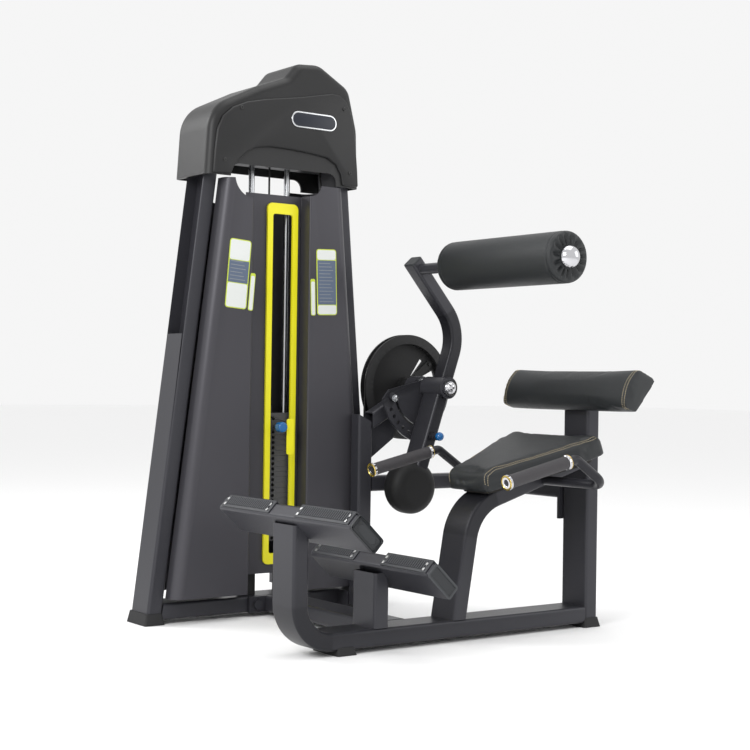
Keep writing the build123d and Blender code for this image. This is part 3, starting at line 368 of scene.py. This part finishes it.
def paintPart(name, mat, test):
    # a second finish on the faces of a node whose middle passes the test
    obj = nodes[name]
    obj.data.materials.append(mat)
    for face in obj.data.polygons:
        if test(face.center):
            face.material_index = 1


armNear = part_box("swing_arm")[0][1]
paintPart("pop_pin", mats["knobBlue"], lambda c: c.y < armNear + 0.0)
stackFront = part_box("stack_head")[0][1]
paintPart("selector_pin", mats["knobBlue"], lambda c: c.y < stackFront - 0.0295)
print("finishes on the frame")


# padded pieces

def nearSeam(co, seam):
    # distance from each vertex to the nearest point of a polyline
    best = np.full(len(co), 9.0)
    for a, b in zip(seam, seam[1:]):
        a, b = np.array(a), np.array(b)
        ab = b - a
        t = np.clip(((co - a) @ ab) / (ab @ ab), 0, 1)
        best = np.minimum(best, np.linalg.norm(co - (a + t[:, None] * ab), axis=1))
    return best


def padFrom(name, node, values, pinned):
    # a stuffed cover: the plain shape is remeshed, blown up as cloth with its back held, and made finer
    deselectAll()
    obj = pick(nodeCopy(node, name))
    remesh = obj.modifiers.new("remesh", "REMESH")
    remesh.mode = "VOXEL"
    remesh.voxel_size = values["voxel"]
    remesh.use_smooth_shade = True
    applyAll(obj)
    shrink = obj.modifiers.new("shrink", "DISPLACE")
    shrink.strength = -values["shrink"]
    shrink.mid_level = 0
    applyAll(obj)
    ease = obj.modifiers.new("ease", "SMOOTH")
    ease.factor = 0.5
    ease.iterations = values["ease"]
    applyAll(obj)
    before = vertsOf(obj)
    held = pinned(before, normalsOf(obj))
    group = obj.vertex_groups.new(name="held")
    group.add([int(i) for i in np.nonzero(held)[0]], 1.0, "REPLACE")
    cloth = obj.modifiers.new("cover", "CLOTH")
    cloth.settings.use_pressure = True
    cloth.settings.uniform_pressure_force = values["pressure"]
    cloth.settings.vertex_group_mass = "held"
    cloth.settings.tension_stiffness = 25
    cloth.settings.compression_stiffness = 25
    cloth.settings.bending_stiffness = 2
    cloth.settings.effector_weights.gravity = 0
    cloth.point_cache.frame_start = 1
    cloth.point_cache.frame_end = 20
    for step in range(1, 21):
        bpy.context.scene.frame_set(step)
    applyAll(obj)
    bpy.context.scene.frame_set(1)
    after = vertsOf(obj)
    move = after - before
    size = np.linalg.norm(move, axis=1)
    limit = np.minimum(1.0, values["cap"] / np.maximum(size, 1e-9))
    setVerts(obj, before + move * limit[:, None])
    fine = obj.modifiers.new("fine", "SUBSURF")
    fine.levels = fine.render_levels = 1
    applyAll(obj)
    return obj


def sinkSeams(obj, seams, depth, width):
    co = vertsOf(obj)
    nor = normalsOf(obj)
    for seam in seams:
        away = nearSeam(co, seam)
        co = co - nor * (depth * np.exp(-(away / width) ** 2))[:, None]
    setVerts(obj, co)


def stitchRows(name, pad, rows, values):
    # one stitch is shaped once, and each copy is laid on the cover along its row
    deselectAll()
    bpy.ops.mesh.primitive_uv_sphere_add(segments=8, ring_count=5, radius=0.5)
    master = bpy.context.object
    master.scale = (values["long"], values["thick"], values["thick"])
    settle(master)
    verts = vertsOf(master)
    faces = [list(f.vertices) for f in master.data.polygons]
    allVerts, allFaces = [], []
    for row in rows:
        pts = [Vector(p) for p in row]
        carry = 0.0
        for a, b in zip(pts, pts[1:]):
            run = (b - a).length
            step = carry
            while step < run:
                place = a.lerp(b, step / run)
                hit, spot, normal, index = pad.closest_point_on_mesh(place)
                along = (b - a).normalized()
                along = (along - normal * along.dot(normal)).normalized()
                side = normal.cross(along)
                turn = np.array([along, side, normal])
                start = len(allVerts)
                base = np.array(spot) + np.array(normal) * values["proud"]
                allVerts.extend((verts @ turn + base).tolist())
                allFaces.extend([[start + i for i in f] for f in faces])
                step += values["pitch"]
            carry = step - run
    mesh = bpy.data.meshes.new(name)
    mesh.from_pydata(allVerts, [], allFaces)
    obj = bpy.data.objects.new(name, mesh)
    bpy.context.scene.collection.objects.link(obj)
    bpy.data.objects.remove(master)
    coat(obj, mats["thread"])
    smooth(obj, 80)
    return obj


thread = {"long": 0.0046, "thick": 0.0013, "pitch": 0.0062, "proud": 0.0003}


# seat pad: a tapered cushion with a double-stitched seam down each side
seat = {"voxel": 0.0055, "shrink": 0.001, "ease": 1, "pressure": 4.0, "cap": 0.005, "inset": 0.013,
        "rowGap": 0.0070}
seatLow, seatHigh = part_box("seat_pad")
seatTilt = math.radians(17)
seatDown = Vector((math.sin(seatTilt), 0, -math.cos(seatTilt)))


def seatBack(co, nor):
    return (nor @ np.array(seatDown)) > 0.85


seatPad = padFrom("seatCushion", "seat_pad", seat, seatBack)
seatMid = (seatLow[1] + seatHigh[1]) / 2
halfWide = (seatHigh[1] - seatLow[1]) / 2


def onPad(pad, x, y, z):
    # drops a point straight onto the cover
    hit, spot, normal, index = pad.ray_cast(Vector((x, y, z + 0.1)), Vector((0, 0, -1)))
    return spot if hit else Vector((x, y, z))


def seatEdge(pad, x, sign):
    # finds the side face of the cushion below its rounded top edge
    z = onPad(pad, x, seatMid, seatHigh[2])[2] - 0.028
    hit, spot, normal, index = pad.ray_cast(Vector((x, seatMid + sign * 0.4, z)), Vector((0, -sign, 0)))
    return spot.y if hit else seatMid + sign * halfWide


def sideLine(pad, sign, inset):
    # along the top edge of one side, then down the rounded front corner
    line = []
    rear, front = seatHigh[0] - 0.036, seatLow[0] + 0.040
    for t in np.linspace(0.0, 1.0, 30):
        x = rear + t * (front - rear)
        line.append(onPad(pad, x, seatEdge(pad, x, sign) - sign * inset, seatHigh[2]))
    last = line[-1]
    for drop in np.linspace(0.016, 0.046, 5):
        aim = Vector((seatLow[0] - 0.05, last.y, last.z - drop))
        hit, spot, normal, index = pad.ray_cast(aim, Vector((1, 0, 0)))
        if hit:
            line.append(spot)
    return line


seatSeams = [sideLine(seatPad, s, seat["inset"]) for s in (-1, 1)]
sinkSeams(seatPad, seatSeams, 0.0022, 0.0035)
rows = []
for s in (-1, 1):
    rows.append(sideLine(seatPad, s, seat["inset"] - seat["rowGap"] / 2))
    rows.append(sideLine(seatPad, s, seat["inset"] + seat["rowGap"] / 2))
seatThread = stitchRows("seatStitching", seatPad, rows, thread)
coat(seatPad, mats["padVinyl"])
smooth(seatPad, 60)
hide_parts("seat_pad")
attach(seatPad, "frame")
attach(seatThread, "frame")
print("seat cushion done")

# lumbar pad: a long crowned bolster with a double-stitched seam near each end
lumbar = {"voxel": 0.0055, "shrink": 0.0005, "ease": 1, "pressure": 4.0, "cap": 0.005, "seamIn": 0.011,
          "rowGap": 0.008}
lumbarLow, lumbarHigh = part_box("lumbar_pad")
backDown = Vector((0.764, 0, -0.645))


def lumbarBack(co, nor):
    return (nor @ np.array(backDown)) > 0.8


lumbarPad = padFrom("lumbarCushion", "lumbar_pad", lumbar, lumbarBack)
lumbarMid = Vector(((lumbarLow[0] + lumbarHigh[0]) / 2, 0, (lumbarLow[2] + lumbarHigh[2]) / 2))


def ringLine(pad, middle, y, radius, first, last):
    # points round the cover in the plane of constant y
    line = []
    for a in np.linspace(math.radians(first), math.radians(last), 30):
        far = Vector((middle.x + radius * math.cos(a), y, middle.z + radius * math.sin(a)))
        aim = Vector((middle.x, y, middle.z)) - far
        hit, spot, normal, index = pad.ray_cast(far, aim.normalized())
        if hit:
            line.append(spot)
    return line


rows, seams = [], []
for y in (lumbarLow[1] + lumbar["seamIn"], lumbarHigh[1] - lumbar["seamIn"]):
    seams.append(ringLine(lumbarPad, lumbarMid, y, 0.15, 30, 235))
sinkSeams(lumbarPad, seams, 0.0022, 0.0035)
for y in (lumbarLow[1] + lumbar["seamIn"], lumbarHigh[1] - lumbar["seamIn"]):
    for shift in (-0.5, 0.5):
        rows.append(ringLine(lumbarPad, lumbarMid, y + shift * lumbar["rowGap"], 0.15, 32, 233))
lumbarThread = stitchRows("lumbarStitching", lumbarPad, rows, thread)
coat(lumbarPad, mats["padVinyl"])
smooth(lumbarPad, 60)
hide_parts("lumbar_pad")
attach(lumbarPad, "frame")
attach(lumbarThread, "frame")
print("lumbar cushion done")

# roller: a round bolster whose cover is gathered under the end cap
roller = {"voxel": 0.0055, "shrink": 0.0015, "ease": 1, "pressure": 4.0, "cap": 0.003, "pleats": 15,
          "pleatDeep": 0.0046}
rollerLow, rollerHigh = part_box("roller_pad")
rollerMid = Vector(((rollerLow[0] + rollerHigh[0]) / 2, 0, (rollerLow[2] + rollerHigh[2]) / 2))


def rollerCore(co, nor):
    return np.hypot(co[:, 0] - rollerMid.x, co[:, 2] - rollerMid.z) < 0.030


rollerPad = padFrom("rollerCushion", "roller_pad", roller, rollerCore)
co = vertsOf(rollerPad)
dx, dz = co[:, 0] - rollerMid.x, co[:, 2] - rollerMid.z
radius = np.hypot(dx, dz)
turn = np.arctan2(dz, dx)
for end, sign in ((rollerLow[1], 1), (rollerHigh[1], -1)):
    near = np.clip(1 - np.abs(co[:, 1] - end) / 0.03, 0, 1)
    ring = np.clip((radius - 0.024) / 0.012, 0, 1) * np.clip((0.066 - radius) / 0.02, 0, 1)
    wave = np.sin(turn * roller["pleats"] + 1.3 * np.sin(turn * 3)) * roller["pleatDeep"]
    co[:, 1] += sign * near * ring * (wave + roller["pleatDeep"])
setVerts(rollerPad, co)
rollerSeams = [ringLine(rollerPad, rollerMid, rollerLow[1] + 0.020, 0.12, 0, 360),
               ringLine(rollerPad, rollerMid, rollerHigh[1] - 0.020, 0.12, 0, 360)]
sinkSeams(rollerPad, rollerSeams, 0.0016, 0.0028)
coat(rollerPad, mats["padVinyl"])
smooth(rollerPad, 60)
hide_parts("roller_pad")
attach(rollerPad, "roller")
print("roller cushion done")


# foot bars

tread = {"thick": 0.0035, "ribPitch": 0.0088, "ribWide": 0.0042, "ribTall": 0.0030, "edge": 0.012}
bars = {
    "upper": {"x": -0.449, "z": 0.330, "half": 0.298},
    "lower": {"x": -0.189, "z": 0.198, "half": 0.258},
}
barTilt = math.radians(43.5)
barWide, barThick, barCentre = 0.096, 0.042, -0.222


def barMatrix(bar):
    # local x runs along the bar, y up its broad face, z out of the broad face
    up = Vector((-math.cos(barTilt), 0, math.sin(barTilt)))
    out = Vector((math.sin(barTilt), 0, math.cos(barTilt)))
    m = Matrix.Identity(4)
    for i, axis in enumerate((Vector((0, 1, 0)), up, out)):
        m.col[i][:3] = axis
    m.col[3][:3] = (bar["x"], barCentre, bar["z"])
    return m


def ribRun(name, start, count, low, high):
    rib = slab(name, low, high, bevel=0.0006, segments=1)
    run = rib.modifiers.new("run", "ARRAY")
    run.use_relative_offset = False
    run.use_constant_offset = True
    run.constant_offset_displace = (tread["ribPitch"], 0, 0)
    run.count = count
    return applyAll(rib)


def makeTread(name, bar, sign):
    gap, reach = 0.058, bar["half"] - 0.058 - 0.012
    a, b = (gap, gap + reach) if sign > 0 else (-gap - reach, -gap)
    y1 = barWide / 2 + tread["thick"]
    z1 = barThick / 2 + tread["thick"]
    top = slab(name + "Face", (a, -barWide / 2 + 0.014, barThick / 2 + 0.0002), (b, y1, z1), 0.0012)
    lip = slab(name + "Lip", (a, barWide / 2 + 0.0002, -0.015), (b, y1, z1), 0.0012)
    inset = tread["edge"]
    count = int((b - a - 2 * inset) / tread["ribPitch"])
    x0 = (a + b) / 2 - count * tread["ribPitch"] / 2
    wide, tall = tread["ribWide"], tread["ribTall"]
    faceRibs = ribRun(name + "FaceRibs", x0, count, (x0, -barWide / 2 + 0.022, z1 - 0.001),
                      (x0 + wide, y1 - 0.006, z1 + tall))
    lipRibs = ribRun(name + "LipRibs", x0, count, (x0, y1 - 0.001, -0.008),
                     (x0 + wide, y1 + tall, z1 - 0.006))
    obj = joinAll([top, lip, faceRibs, lipRibs], name)
    obj.matrix_world = barMatrix(bar)
    return settle(obj)


treads = [makeTread(f"{key}Tread{'Far' if s > 0 else 'Near'}", bar, s) for key,
          bar in bars.items() for s in (-1, 1)]
for piece in treads:
    coat(piece, mats["treadPlastic"])
    smooth(piece, 30)
    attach(piece, "frame")
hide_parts("foot_treads")


def makeEndCap(name, bar, sign):
    # a moulded cap with a sunk panel
    x0 = sign * (bar["half"] - 0.004)
    x1 = sign * bar["half"]
    low = (min(x0, x1), -barWide / 2 + 0.0005, -barThick / 2 + 0.0005)
    high = (max(x0, x1), barWide / 2 - 0.0005, barThick / 2 - 0.0005)
    obj = slab(name, low, high)
    bpy.ops.object.mode_set(mode="EDIT")
    bpy.ops.mesh.select_all(action="DESELECT")
    bpy.ops.object.mode_set(mode="OBJECT")
    for edge in obj.data.edges:
        a, b = (obj.data.vertices[i].co for i in edge.vertices)
        edge.select = abs(a.x - b.x) > 0.003
    bpy.ops.object.mode_set(mode="EDIT")
    bpy.ops.mesh.select_mode(type="EDGE")
    bpy.ops.mesh.bevel(offset=0.0075, segments=4, affect="EDGES")
    bpy.ops.mesh.select_mode(type="FACE")
    bpy.ops.mesh.select_all(action="DESELECT")
    bpy.ops.object.mode_set(mode="OBJECT")
    for face in obj.data.polygons:
        face.select = face.normal.x * sign > 0.9
    bpy.ops.object.mode_set(mode="EDIT")
    bpy.ops.mesh.inset(thickness=0.006)
    bpy.ops.mesh.inset(thickness=0.0012, depth=-0.0018)
    bpy.ops.object.mode_set(mode="OBJECT")
    obj.matrix_world = barMatrix(bar)
    return settle(obj)


endCaps = [makeEndCap(f"{key}Cap{'Far' if s > 0 else 'Near'}", bar, s) for key,
           bar in bars.items() for s in (-1, 1)]
for piece in endCaps:
    coat(piece, mats["endPlastic"])
    smooth(piece, 30)
    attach(piece, "frame")
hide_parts("foot_bar_caps")
print("foot bars done")


# top cover

cover = {"rise": 0.0085, "bevel": 0.0078}
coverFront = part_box("tower_cap")[0][1]
panelLine = [(-0.388, 1.262), (-0.383, 1.330), (-0.376, 1.385), (-0.358, 1.424), (-0.326, 1.452),
             (-0.280, 1.472),
             (-0.220, 1.486), (-0.160, 1.496), (-0.100, 1.506), (-0.040, 1.519), (0.010, 1.529), (0.036,
                     1.528),
             (0.060, 1.512), (0.078, 1.478), (0.090, 1.430), (0.098, 1.370), (0.104, 1.310), (0.107, 1.262),
             (0.052, 1.262), (0.046, 1.294), (0.028, 1.322), (-0.004, 1.338), (-0.060, 1.345), (-0.130,
                     1.350),
             (-0.200, 1.351), (-0.246, 1.345), (-0.280, 1.328), (-0.306, 1.304), (-0.322, 1.282), (-0.330,
                     1.262)]


def outlinePlate(name, line, front, back, bevel):
    # a flat plate from an outline of x and z, its front edge rounded
    mesh = bpy.data.meshes.new(name)
    mesh.from_pydata([(x, back, z) for x, z in line], [], [list(range(len(line)))])
    obj = bpy.data.objects.new(name, mesh)
    bpy.context.scene.collection.objects.link(obj)
    pick(obj)
    bpy.ops.object.mode_set(mode="EDIT")
    bpy.ops.mesh.select_all(action="SELECT")
    bpy.ops.mesh.extrude_region_move(TRANSFORM_OT_translate={"value": (0, front - back, 0)})
    bpy.ops.mesh.select_all(action="SELECT")
    bpy.ops.mesh.normals_make_consistent(inside=False)
    bpy.ops.object.mode_set(mode="OBJECT")
    rounding = obj.modifiers.new("round", "BEVEL")
    rounding.width = bevel
    rounding.segments = 3
    rounding.limit_method = "ANGLE"
    rounding.angle_limit = math.radians(50)
    return applyAll(obj)


coverPanel = outlinePlate("coverPanel", panelLine, coverFront - cover["rise"], coverFront + 0.001,
                          cover["bevel"])
coat(coverPanel, mats["panelPlastic"])
smooth(coverPanel, 40)
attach(coverPanel, "frame")

badge = {"x": -0.055, "z": 1.440, "wide": 0.157, "tall": 0.047, "rim": 0.004}


def oval(name, wide, tall, front, back, bevel):
    line = []
    flat, r = (wide - tall) / 2, tall / 2
    for centre, first in ((flat, -90), (-flat, 90)):
        for i in range(13):
            a = math.radians(first + i * 15)
            line.append((badge["x"] + centre + r * math.cos(a), badge["z"] + r * math.sin(a)))
    return outlinePlate(name, line, front, back, bevel)


face = coverFront - cover["rise"]
badgeRimPiece = oval("badgeRimPlate", badge["wide"], badge["tall"], face - 0.0030, face + 0.001, 0.0012)
badgeField = oval("badgeField", badge["wide"] - 2 * badge["rim"], badge["tall"] - 2 * badge["rim"],
                  face - 0.0034, face - 0.0026, 0.0002)
coat(badgeRimPiece, mats["badgeRim"])
coat(badgeField, mats["badgeBlue"])
for piece in (badgeRimPiece, badgeField):
    smooth(piece, 40)
    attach(piece, "frame")

screw = {"radius": 0.0052, "tall": 0.0022, "places": [(-0.352, 1.300), (0.076, 1.300), (-0.300, 1.452),
                                                      (0.052, 1.488)]}


def socketScrew(name, x, y, z, radius, tall, mat):
    # a domed head with a socket, facing -Y
    deselectAll()
    bpy.ops.mesh.primitive_cylinder_add(vertices=24, radius=radius, depth=tall,
                                        location=(x, y - tall / 2, z),
                                        rotation=(math.radians(90), 0, 0))
    obj = settle(bpy.context.object)
    obj.name = name
    for poly in obj.data.polygons:
        poly.select = poly.normal.y < -0.9
    bpy.ops.object.mode_set(mode="EDIT")
    bpy.ops.mesh.select_mode(type="FACE")
    bpy.ops.object.mode_set(mode="OBJECT")
    for poly in obj.data.polygons:
        poly.select = poly.normal.y < -0.9
    bpy.ops.object.mode_set(mode="EDIT")
    bpy.ops.mesh.inset(thickness=radius * 0.16, depth=radius * 0.10)
    bpy.ops.mesh.inset(thickness=radius * 0.34)
    bpy.ops.mesh.inset(thickness=radius * 0.02, depth=-radius * 0.35)
    bpy.ops.object.mode_set(mode="OBJECT")
    coat(obj, mats[mat])
    return smooth(obj, 30)


for i, (x, z) in enumerate(screw["places"]):
    y = coverFront - cover["rise"]
    piece = socketScrew(f"coverScrew{i + 1}", x, y, z, screw["radius"], screw["tall"], "nylon")
    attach(piece, "frame")
print("top cover done")


# placards: blank cards with plain bands

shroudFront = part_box("shroud_front_left")[0][1]
cards = {
    "left": {"x0": -0.336, "x1": -0.266, "z0": 0.884, "z1": 1.080, "lean": 4.5, "strip": 1, "head": 0.69,
             "foot": 0.36},
    "right": {"x0": -0.034, "x1": 0.036, "z0": 0.876, "z1": 1.070, "lean": -2.0, "strip": -1, "head": 0.83,
              "foot": 0.15},
}


def leanAbout(obj, x, z, degrees):
    # turns a flat piece in the plane of the cover and leaves it at the origin
    there = Matrix.Translation((x, 0, z))
    obj.matrix_world = there @ Matrix.Rotation(math.radians(degrees), 4, "Y") @ there.inverted()
    return settle(obj)


def roundedCard(name, x0, x1, z0, z1, depth, radius, mat, c):
    line = []
    for cx, cz, first in ((x1 - radius, z0 + radius, -90), (x1 - radius, z1 - radius, 0),
                          (x0 + radius, z1 - radius, 90),
                          (x0 + radius, z0 + radius, 180)):
        for i in range(7):
            a = math.radians(first + i * 15)
            line.append((cx + radius * math.cos(a), cz + radius * math.sin(a)))
    piece = outlinePlate(name, line, shroudFront - depth, shroudFront + 0.0004, 0.0002)
    leanAbout(piece, (c["x0"] + c["x1"]) / 2, (c["z0"] + c["z1"]) / 2, c["lean"])
    coat(piece, mats[mat])
    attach(piece, "frame")
    return piece


cardLook = {"border": 0.0028, "sheet": 0.0012, "print": 0.0016, "rule": 0.0019, "ruleTall": 0.0022,
            "rulePitch": 0.0102, "gap": 0.006, "stripWide": 0.016, "stripTall": 0.107, "stripBorder": 0.002}
for side, c in cards.items():
    tall, m = c["z1"] - c["z0"], cardLook["border"]
    x0, x1 = c["x0"], c["x1"]
    headLow = c["z0"] + tall * (c["head"] + 0.01)
    bodyLow, bodyHigh = c["z0"] + tall * (c["foot"] + 0.01), c["z0"] + tall * c["head"]
    footHigh = c["z0"] + tall * c["foot"]
    sheet, printed = cardLook["sheet"], cardLook["print"]
    roundedCard(side + "Card", x0, x1, c["z0"], c["z1"], sheet, 0.009, "cardEdge", c)
    roundedCard(side + "CardHead", x0 + m, x1 - m, headLow, c["z1"] - m, printed, 0.006, "cardWhite", c)
    roundedCard(side + "CardBody", x0 + m, x1 - m, bodyLow, bodyHigh, printed, 0.001, "cardBlue", c)
    roundedCard(side + "CardFoot", x0 + m, x1 - m, c["z0"] + m, footHigh, printed, 0.006, "cardWhite", c)
    for row in range(int((c["head"] - c["foot"]) * tall / 0.0105)):
        z = c["z0"] + tall * (c["foot"] + 0.05) + row * cardLook["rulePitch"]
        ruleEnd = x1 - 0.012 - 0.005 * (row % 3)
        roundedCard(f"{side}CardLine{row + 1}", x0 + 0.008, ruleEnd, z, z + cardLook["ruleTall"],
                    cardLook["rule"], 0.0008, "cardGrey", c)
    wide, edge = cardLook["stripWide"], cardLook["stripBorder"]
    sx = x1 + cardLook["gap"] if c["strip"] > 0 else x0 - cardLook["gap"] - wide
    stripLow = c["z0"] - 0.001
    roundedCard(side + "Strip", sx, sx + wide, stripLow, stripLow + cardLook["stripTall"], sheet, 0.005,
                "cardEdge", c)
    roundedCard(side + "StripFace", sx + edge, sx + wide - edge, stripLow + edge, stripLow + 0.099,
                printed, 0.004,
                "cardWhite", c)
print("placards done")


# bolts

def hexBolt(name, place, axis, radius, tall, mat):
    # a hex head on a washer
    deselectAll()
    axis = Vector(axis)
    turn = axis.to_track_quat("Z", "Y").to_euler()
    bpy.ops.mesh.primitive_cylinder_add(vertices=32, radius=radius * 1.35, depth=0.0025,
                                        location=Vector(place) + axis * 0.00125, rotation=turn)
    washer = settle(bpy.context.object)
    deselectAll()
    bpy.ops.mesh.primitive_cylinder_add(vertices=6, radius=radius, depth=tall,
                                        location=Vector(place) + axis * (0.0025 + tall / 2), rotation=turn)
    head = settle(bpy.context.object)
    bpy.ops.object.mode_set(mode="EDIT")
    bpy.ops.mesh.select_all(action="SELECT")
    bpy.ops.mesh.bevel(offset=radius * 0.08, segments=2, affect="EDGES")
    bpy.ops.object.mode_set(mode="OBJECT")
    obj = joinAll([washer, head], name)
    coat(obj, mats[mat])
    return smooth(obj, 25)


sectorBolt = {"place": (0.196, 0.2438, 0.634), "axis": (0, -1, 0), "radius": 0.0085, "tall": 0.005}
piece = hexBolt("sectorBolt", sectorBolt["place"], sectorBolt["axis"], sectorBolt["radius"],
                sectorBolt["tall"],
                "brightSteel")
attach(piece, "press_arm")
print("bolts done")


# grip ends: a turned ferrule with a gilt bead and a socket

ferrule = {"radius": 0.0192, "long": 0.0100, "bead": 0.0022, "socket": 0.0085, "bore": 0.0126}
gripAxis = Vector((0.222, 0, 0.051)).normalized()


def turnedPiece(name, profile, start, axis, mat, steps=40):
    # a profile of (along, radius) spun round an axis
    mesh = bpy.data.meshes.new(name)
    mesh.from_pydata([(r, 0, a) for a, r in profile], [(i, i + 1) for i in range(len(profile) - 1)], [])
    obj = bpy.data.objects.new(name, mesh)
    bpy.context.scene.collection.objects.link(obj)
    pick(obj)
    bpy.ops.object.mode_set(mode="EDIT")
    bpy.ops.mesh.select_all(action="SELECT")
    bpy.ops.mesh.spin(steps=steps, angle=math.radians(360), center=(0, 0, 0), axis=(0, 0, 1))
    bpy.ops.mesh.select_all(action="SELECT")
    bpy.ops.mesh.remove_doubles(threshold=0.00001)
    bpy.ops.mesh.normals_make_consistent(inside=False)
    bpy.ops.object.mode_set(mode="OBJECT")
    obj.matrix_world = Matrix.Translation(start) @ axis.to_track_quat("Z", "Y").to_matrix().to_4x4()
    settle(obj)
    coat(obj, mats[mat])
    return smooth(obj, 40)


def ferruleAt(name, place, axis, closed):
    r, n, b = ferrule["radius"], ferrule["long"], ferrule["bead"]
    hole = ferrule["socket"] if closed else ferrule["bore"]
    body = [(0.0, 0.0 if closed else hole), (0.0, r - 0.0015), (0.0012, r), (n - b - 0.0004, r),
            (n - b, r - 0.0008)]
    tip = [(n - b, r - 0.0014), (n - b + 0.0003, r + 0.0001), (n - 0.0007, r + 0.0003), (n, r - 0.0010),
           (n + 0.0002, r - 0.0040), (n - 0.0010, r - 0.0050)]
    cup = [(n - 0.0010, r - 0.0050), (n - 0.0010, hole + 0.0006), (n - 0.0016, hole)]
    cup += [(n - 0.0065, hole), (n - 0.0065, 0.0)] if closed else [(0.0, hole)]
    a = turnedPiece(name + "Body", body, place, axis, "goldChrome")
    c = turnedPiece(name + "Bead", tip, place, axis, "goldBead")
    d = turnedPiece(name + "Cup", cup, place, axis, "goldChrome")
    for piece in (a, c, d):
        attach(piece, "frame")
    return a


for side, y in (("Near", -0.508), ("Far", 0.064)):
    front = Vector((-0.016, y, 0.435)) + gripAxis * 0.002
    gripStart = front + gripAxis * 0.007
    gripEnd = gripStart + gripAxis * 0.196
    ferruleAt("gripFront" + side, gripStart, -gripAxis, True)
    ferruleAt("gripRear" + side, gripEnd, gripAxis, False)
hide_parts("grip_rings")
print("grip ends done")


# cable above the weight stack, which on the machine shortens as the stack rises; here a still copy with a
# mesh of its own

stackCable = settle(nodeCopy("stack_cable", "stackCableRun"))
coat(stackCable, mats["cableSheath"])
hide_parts("stack_cable")
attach(stackCable, "frame")
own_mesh(stackCable)
print("stack cable done")


# lanyard from the stack head to the tag

lanyard = {"length": 0.0644, "diameter": 0.004}
lanyardRoute = [(-0.152, 0.383, 0.575), (-0.149, 0.370, 0.574), (-0.135, 0.359, 0.569),
                (-0.120, 0.351, 0.562),
                (-0.108, 0.343, 0.559)]
cordCurve = bpy.data.curves.new("lanyardCord", "CURVE")
cordCurve.dimensions = "3D"
cordLine = cordCurve.splines.new("NURBS")
cordLine.points.add(len(lanyardRoute) - 1)
for point, place in zip(cordLine.points, lanyardRoute):
    point.co = (*place, 1)
cordLine.order_u = 3
cordLine.use_endpoint_u = True
cordCurve.bevel_depth = lanyard["diameter"] / 2
cordCurve.bevel_resolution = 6
cordCurve.use_fill_caps = True
cordPiece = bpy.data.objects.new("lanyardCord", cordCurve)
bpy.context.scene.collection.objects.link(cordPiece)
cordPiece.data.materials.append(mats["cableSheath"])
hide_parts("pin_lanyard")
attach(cordPiece, "lifted_stack")
print("lanyard done")


# floor, light and camera

deselectAll()
bpy.ops.mesh.primitive_plane_add(size=60, location=(0, 0, -0.0005))
floor = bpy.context.object
floor.name = "studioFloor"
floorMat = bpy.data.materials.new("studioPaper")
floorMat.use_nodes = True
floorMat.node_tree.nodes["Principled BSDF"].inputs["Base Color"].default_value = (0.96, 0.96, 0.96, 1)
floorMat.node_tree.nodes["Principled BSDF"].inputs["Roughness"].default_value = 0.9
coat(floor, floorMat)

world = bpy.data.worlds.new("studioWorld")
bpy.context.scene.world = world
world.use_nodes = True
world.node_tree.nodes["Background"].inputs["Color"].default_value = (1, 1, 1, 1)
world.node_tree.nodes["Background"].inputs["Strength"].default_value = 0.92

lamps = {
    "keyLight": {"place": (-3.4, -1.6, 2.6), "aim": (-0.1, 0.1, 0.8), "size": 1.5, "power": 70},
    "fillLight": {"place": (3.2, -2.6, 2.2), "aim": (0.2, 0, 0.7), "size": 2.2, "power": 22},
    "rimLight": {"place": (-2.4, 2.6, 2.8), "aim": (-0.1, 0.3, 1.0), "size": 1.8, "power": 60},
    "topLight": {"place": (0.4, -0.4, 4.0), "aim": (0, 0, 0.5), "size": 2.6, "power": 34},
}
for name, lamp in lamps.items():
    light = bpy.data.lights.new(name, "AREA")
    light.energy = lamp["power"]
    light.size = lamp["size"]
    holder = bpy.data.objects.new(name, light)
    holder.location = lamp["place"]
    aim = Vector(lamp["aim"]) - Vector(lamp["place"])
    holder.rotation_euler = aim.to_track_quat("-Z", "Y").to_euler()
    bpy.context.scene.collection.objects.link(holder)

shot = {"place": (-2.468, -3.324, 0.685), "yaw": 35.98, "pitch": 0.22, "roll": 0.81, "lens": 71.8}
camData = bpy.data.cameras.new("studioCamera")
camData.lens = shot["lens"]
camData.sensor_width = 36
camData.clip_end = 100
camera = bpy.data.objects.new("studioCamera", camData)
bpy.context.scene.collection.objects.link(camera)
yaw, pitch, roll = (math.radians(shot[k]) for k in ("yaw", "pitch", "roll"))
ahead = Vector((math.sin(yaw) * math.cos(pitch), math.cos(yaw) * math.cos(pitch), math.sin(pitch)))
right = ahead.cross(Vector((0, 0, 1))).normalized()
above = right.cross(ahead)
rightRolled = right * math.cos(roll) + above * math.sin(roll)
aboveRolled = above * math.cos(roll) - right * math.sin(roll)
m = Matrix.Identity(4)
for i, axis in enumerate((rightRolled, aboveRolled, -ahead)):
    m.col[i][:3] = axis
m.col[3][:3] = shot["place"]
camera.matrix_world = m
bpy.context.scene.view_settings.view_transform = "Standard"
bpy.context.scene.camera = camera
print("stage done")
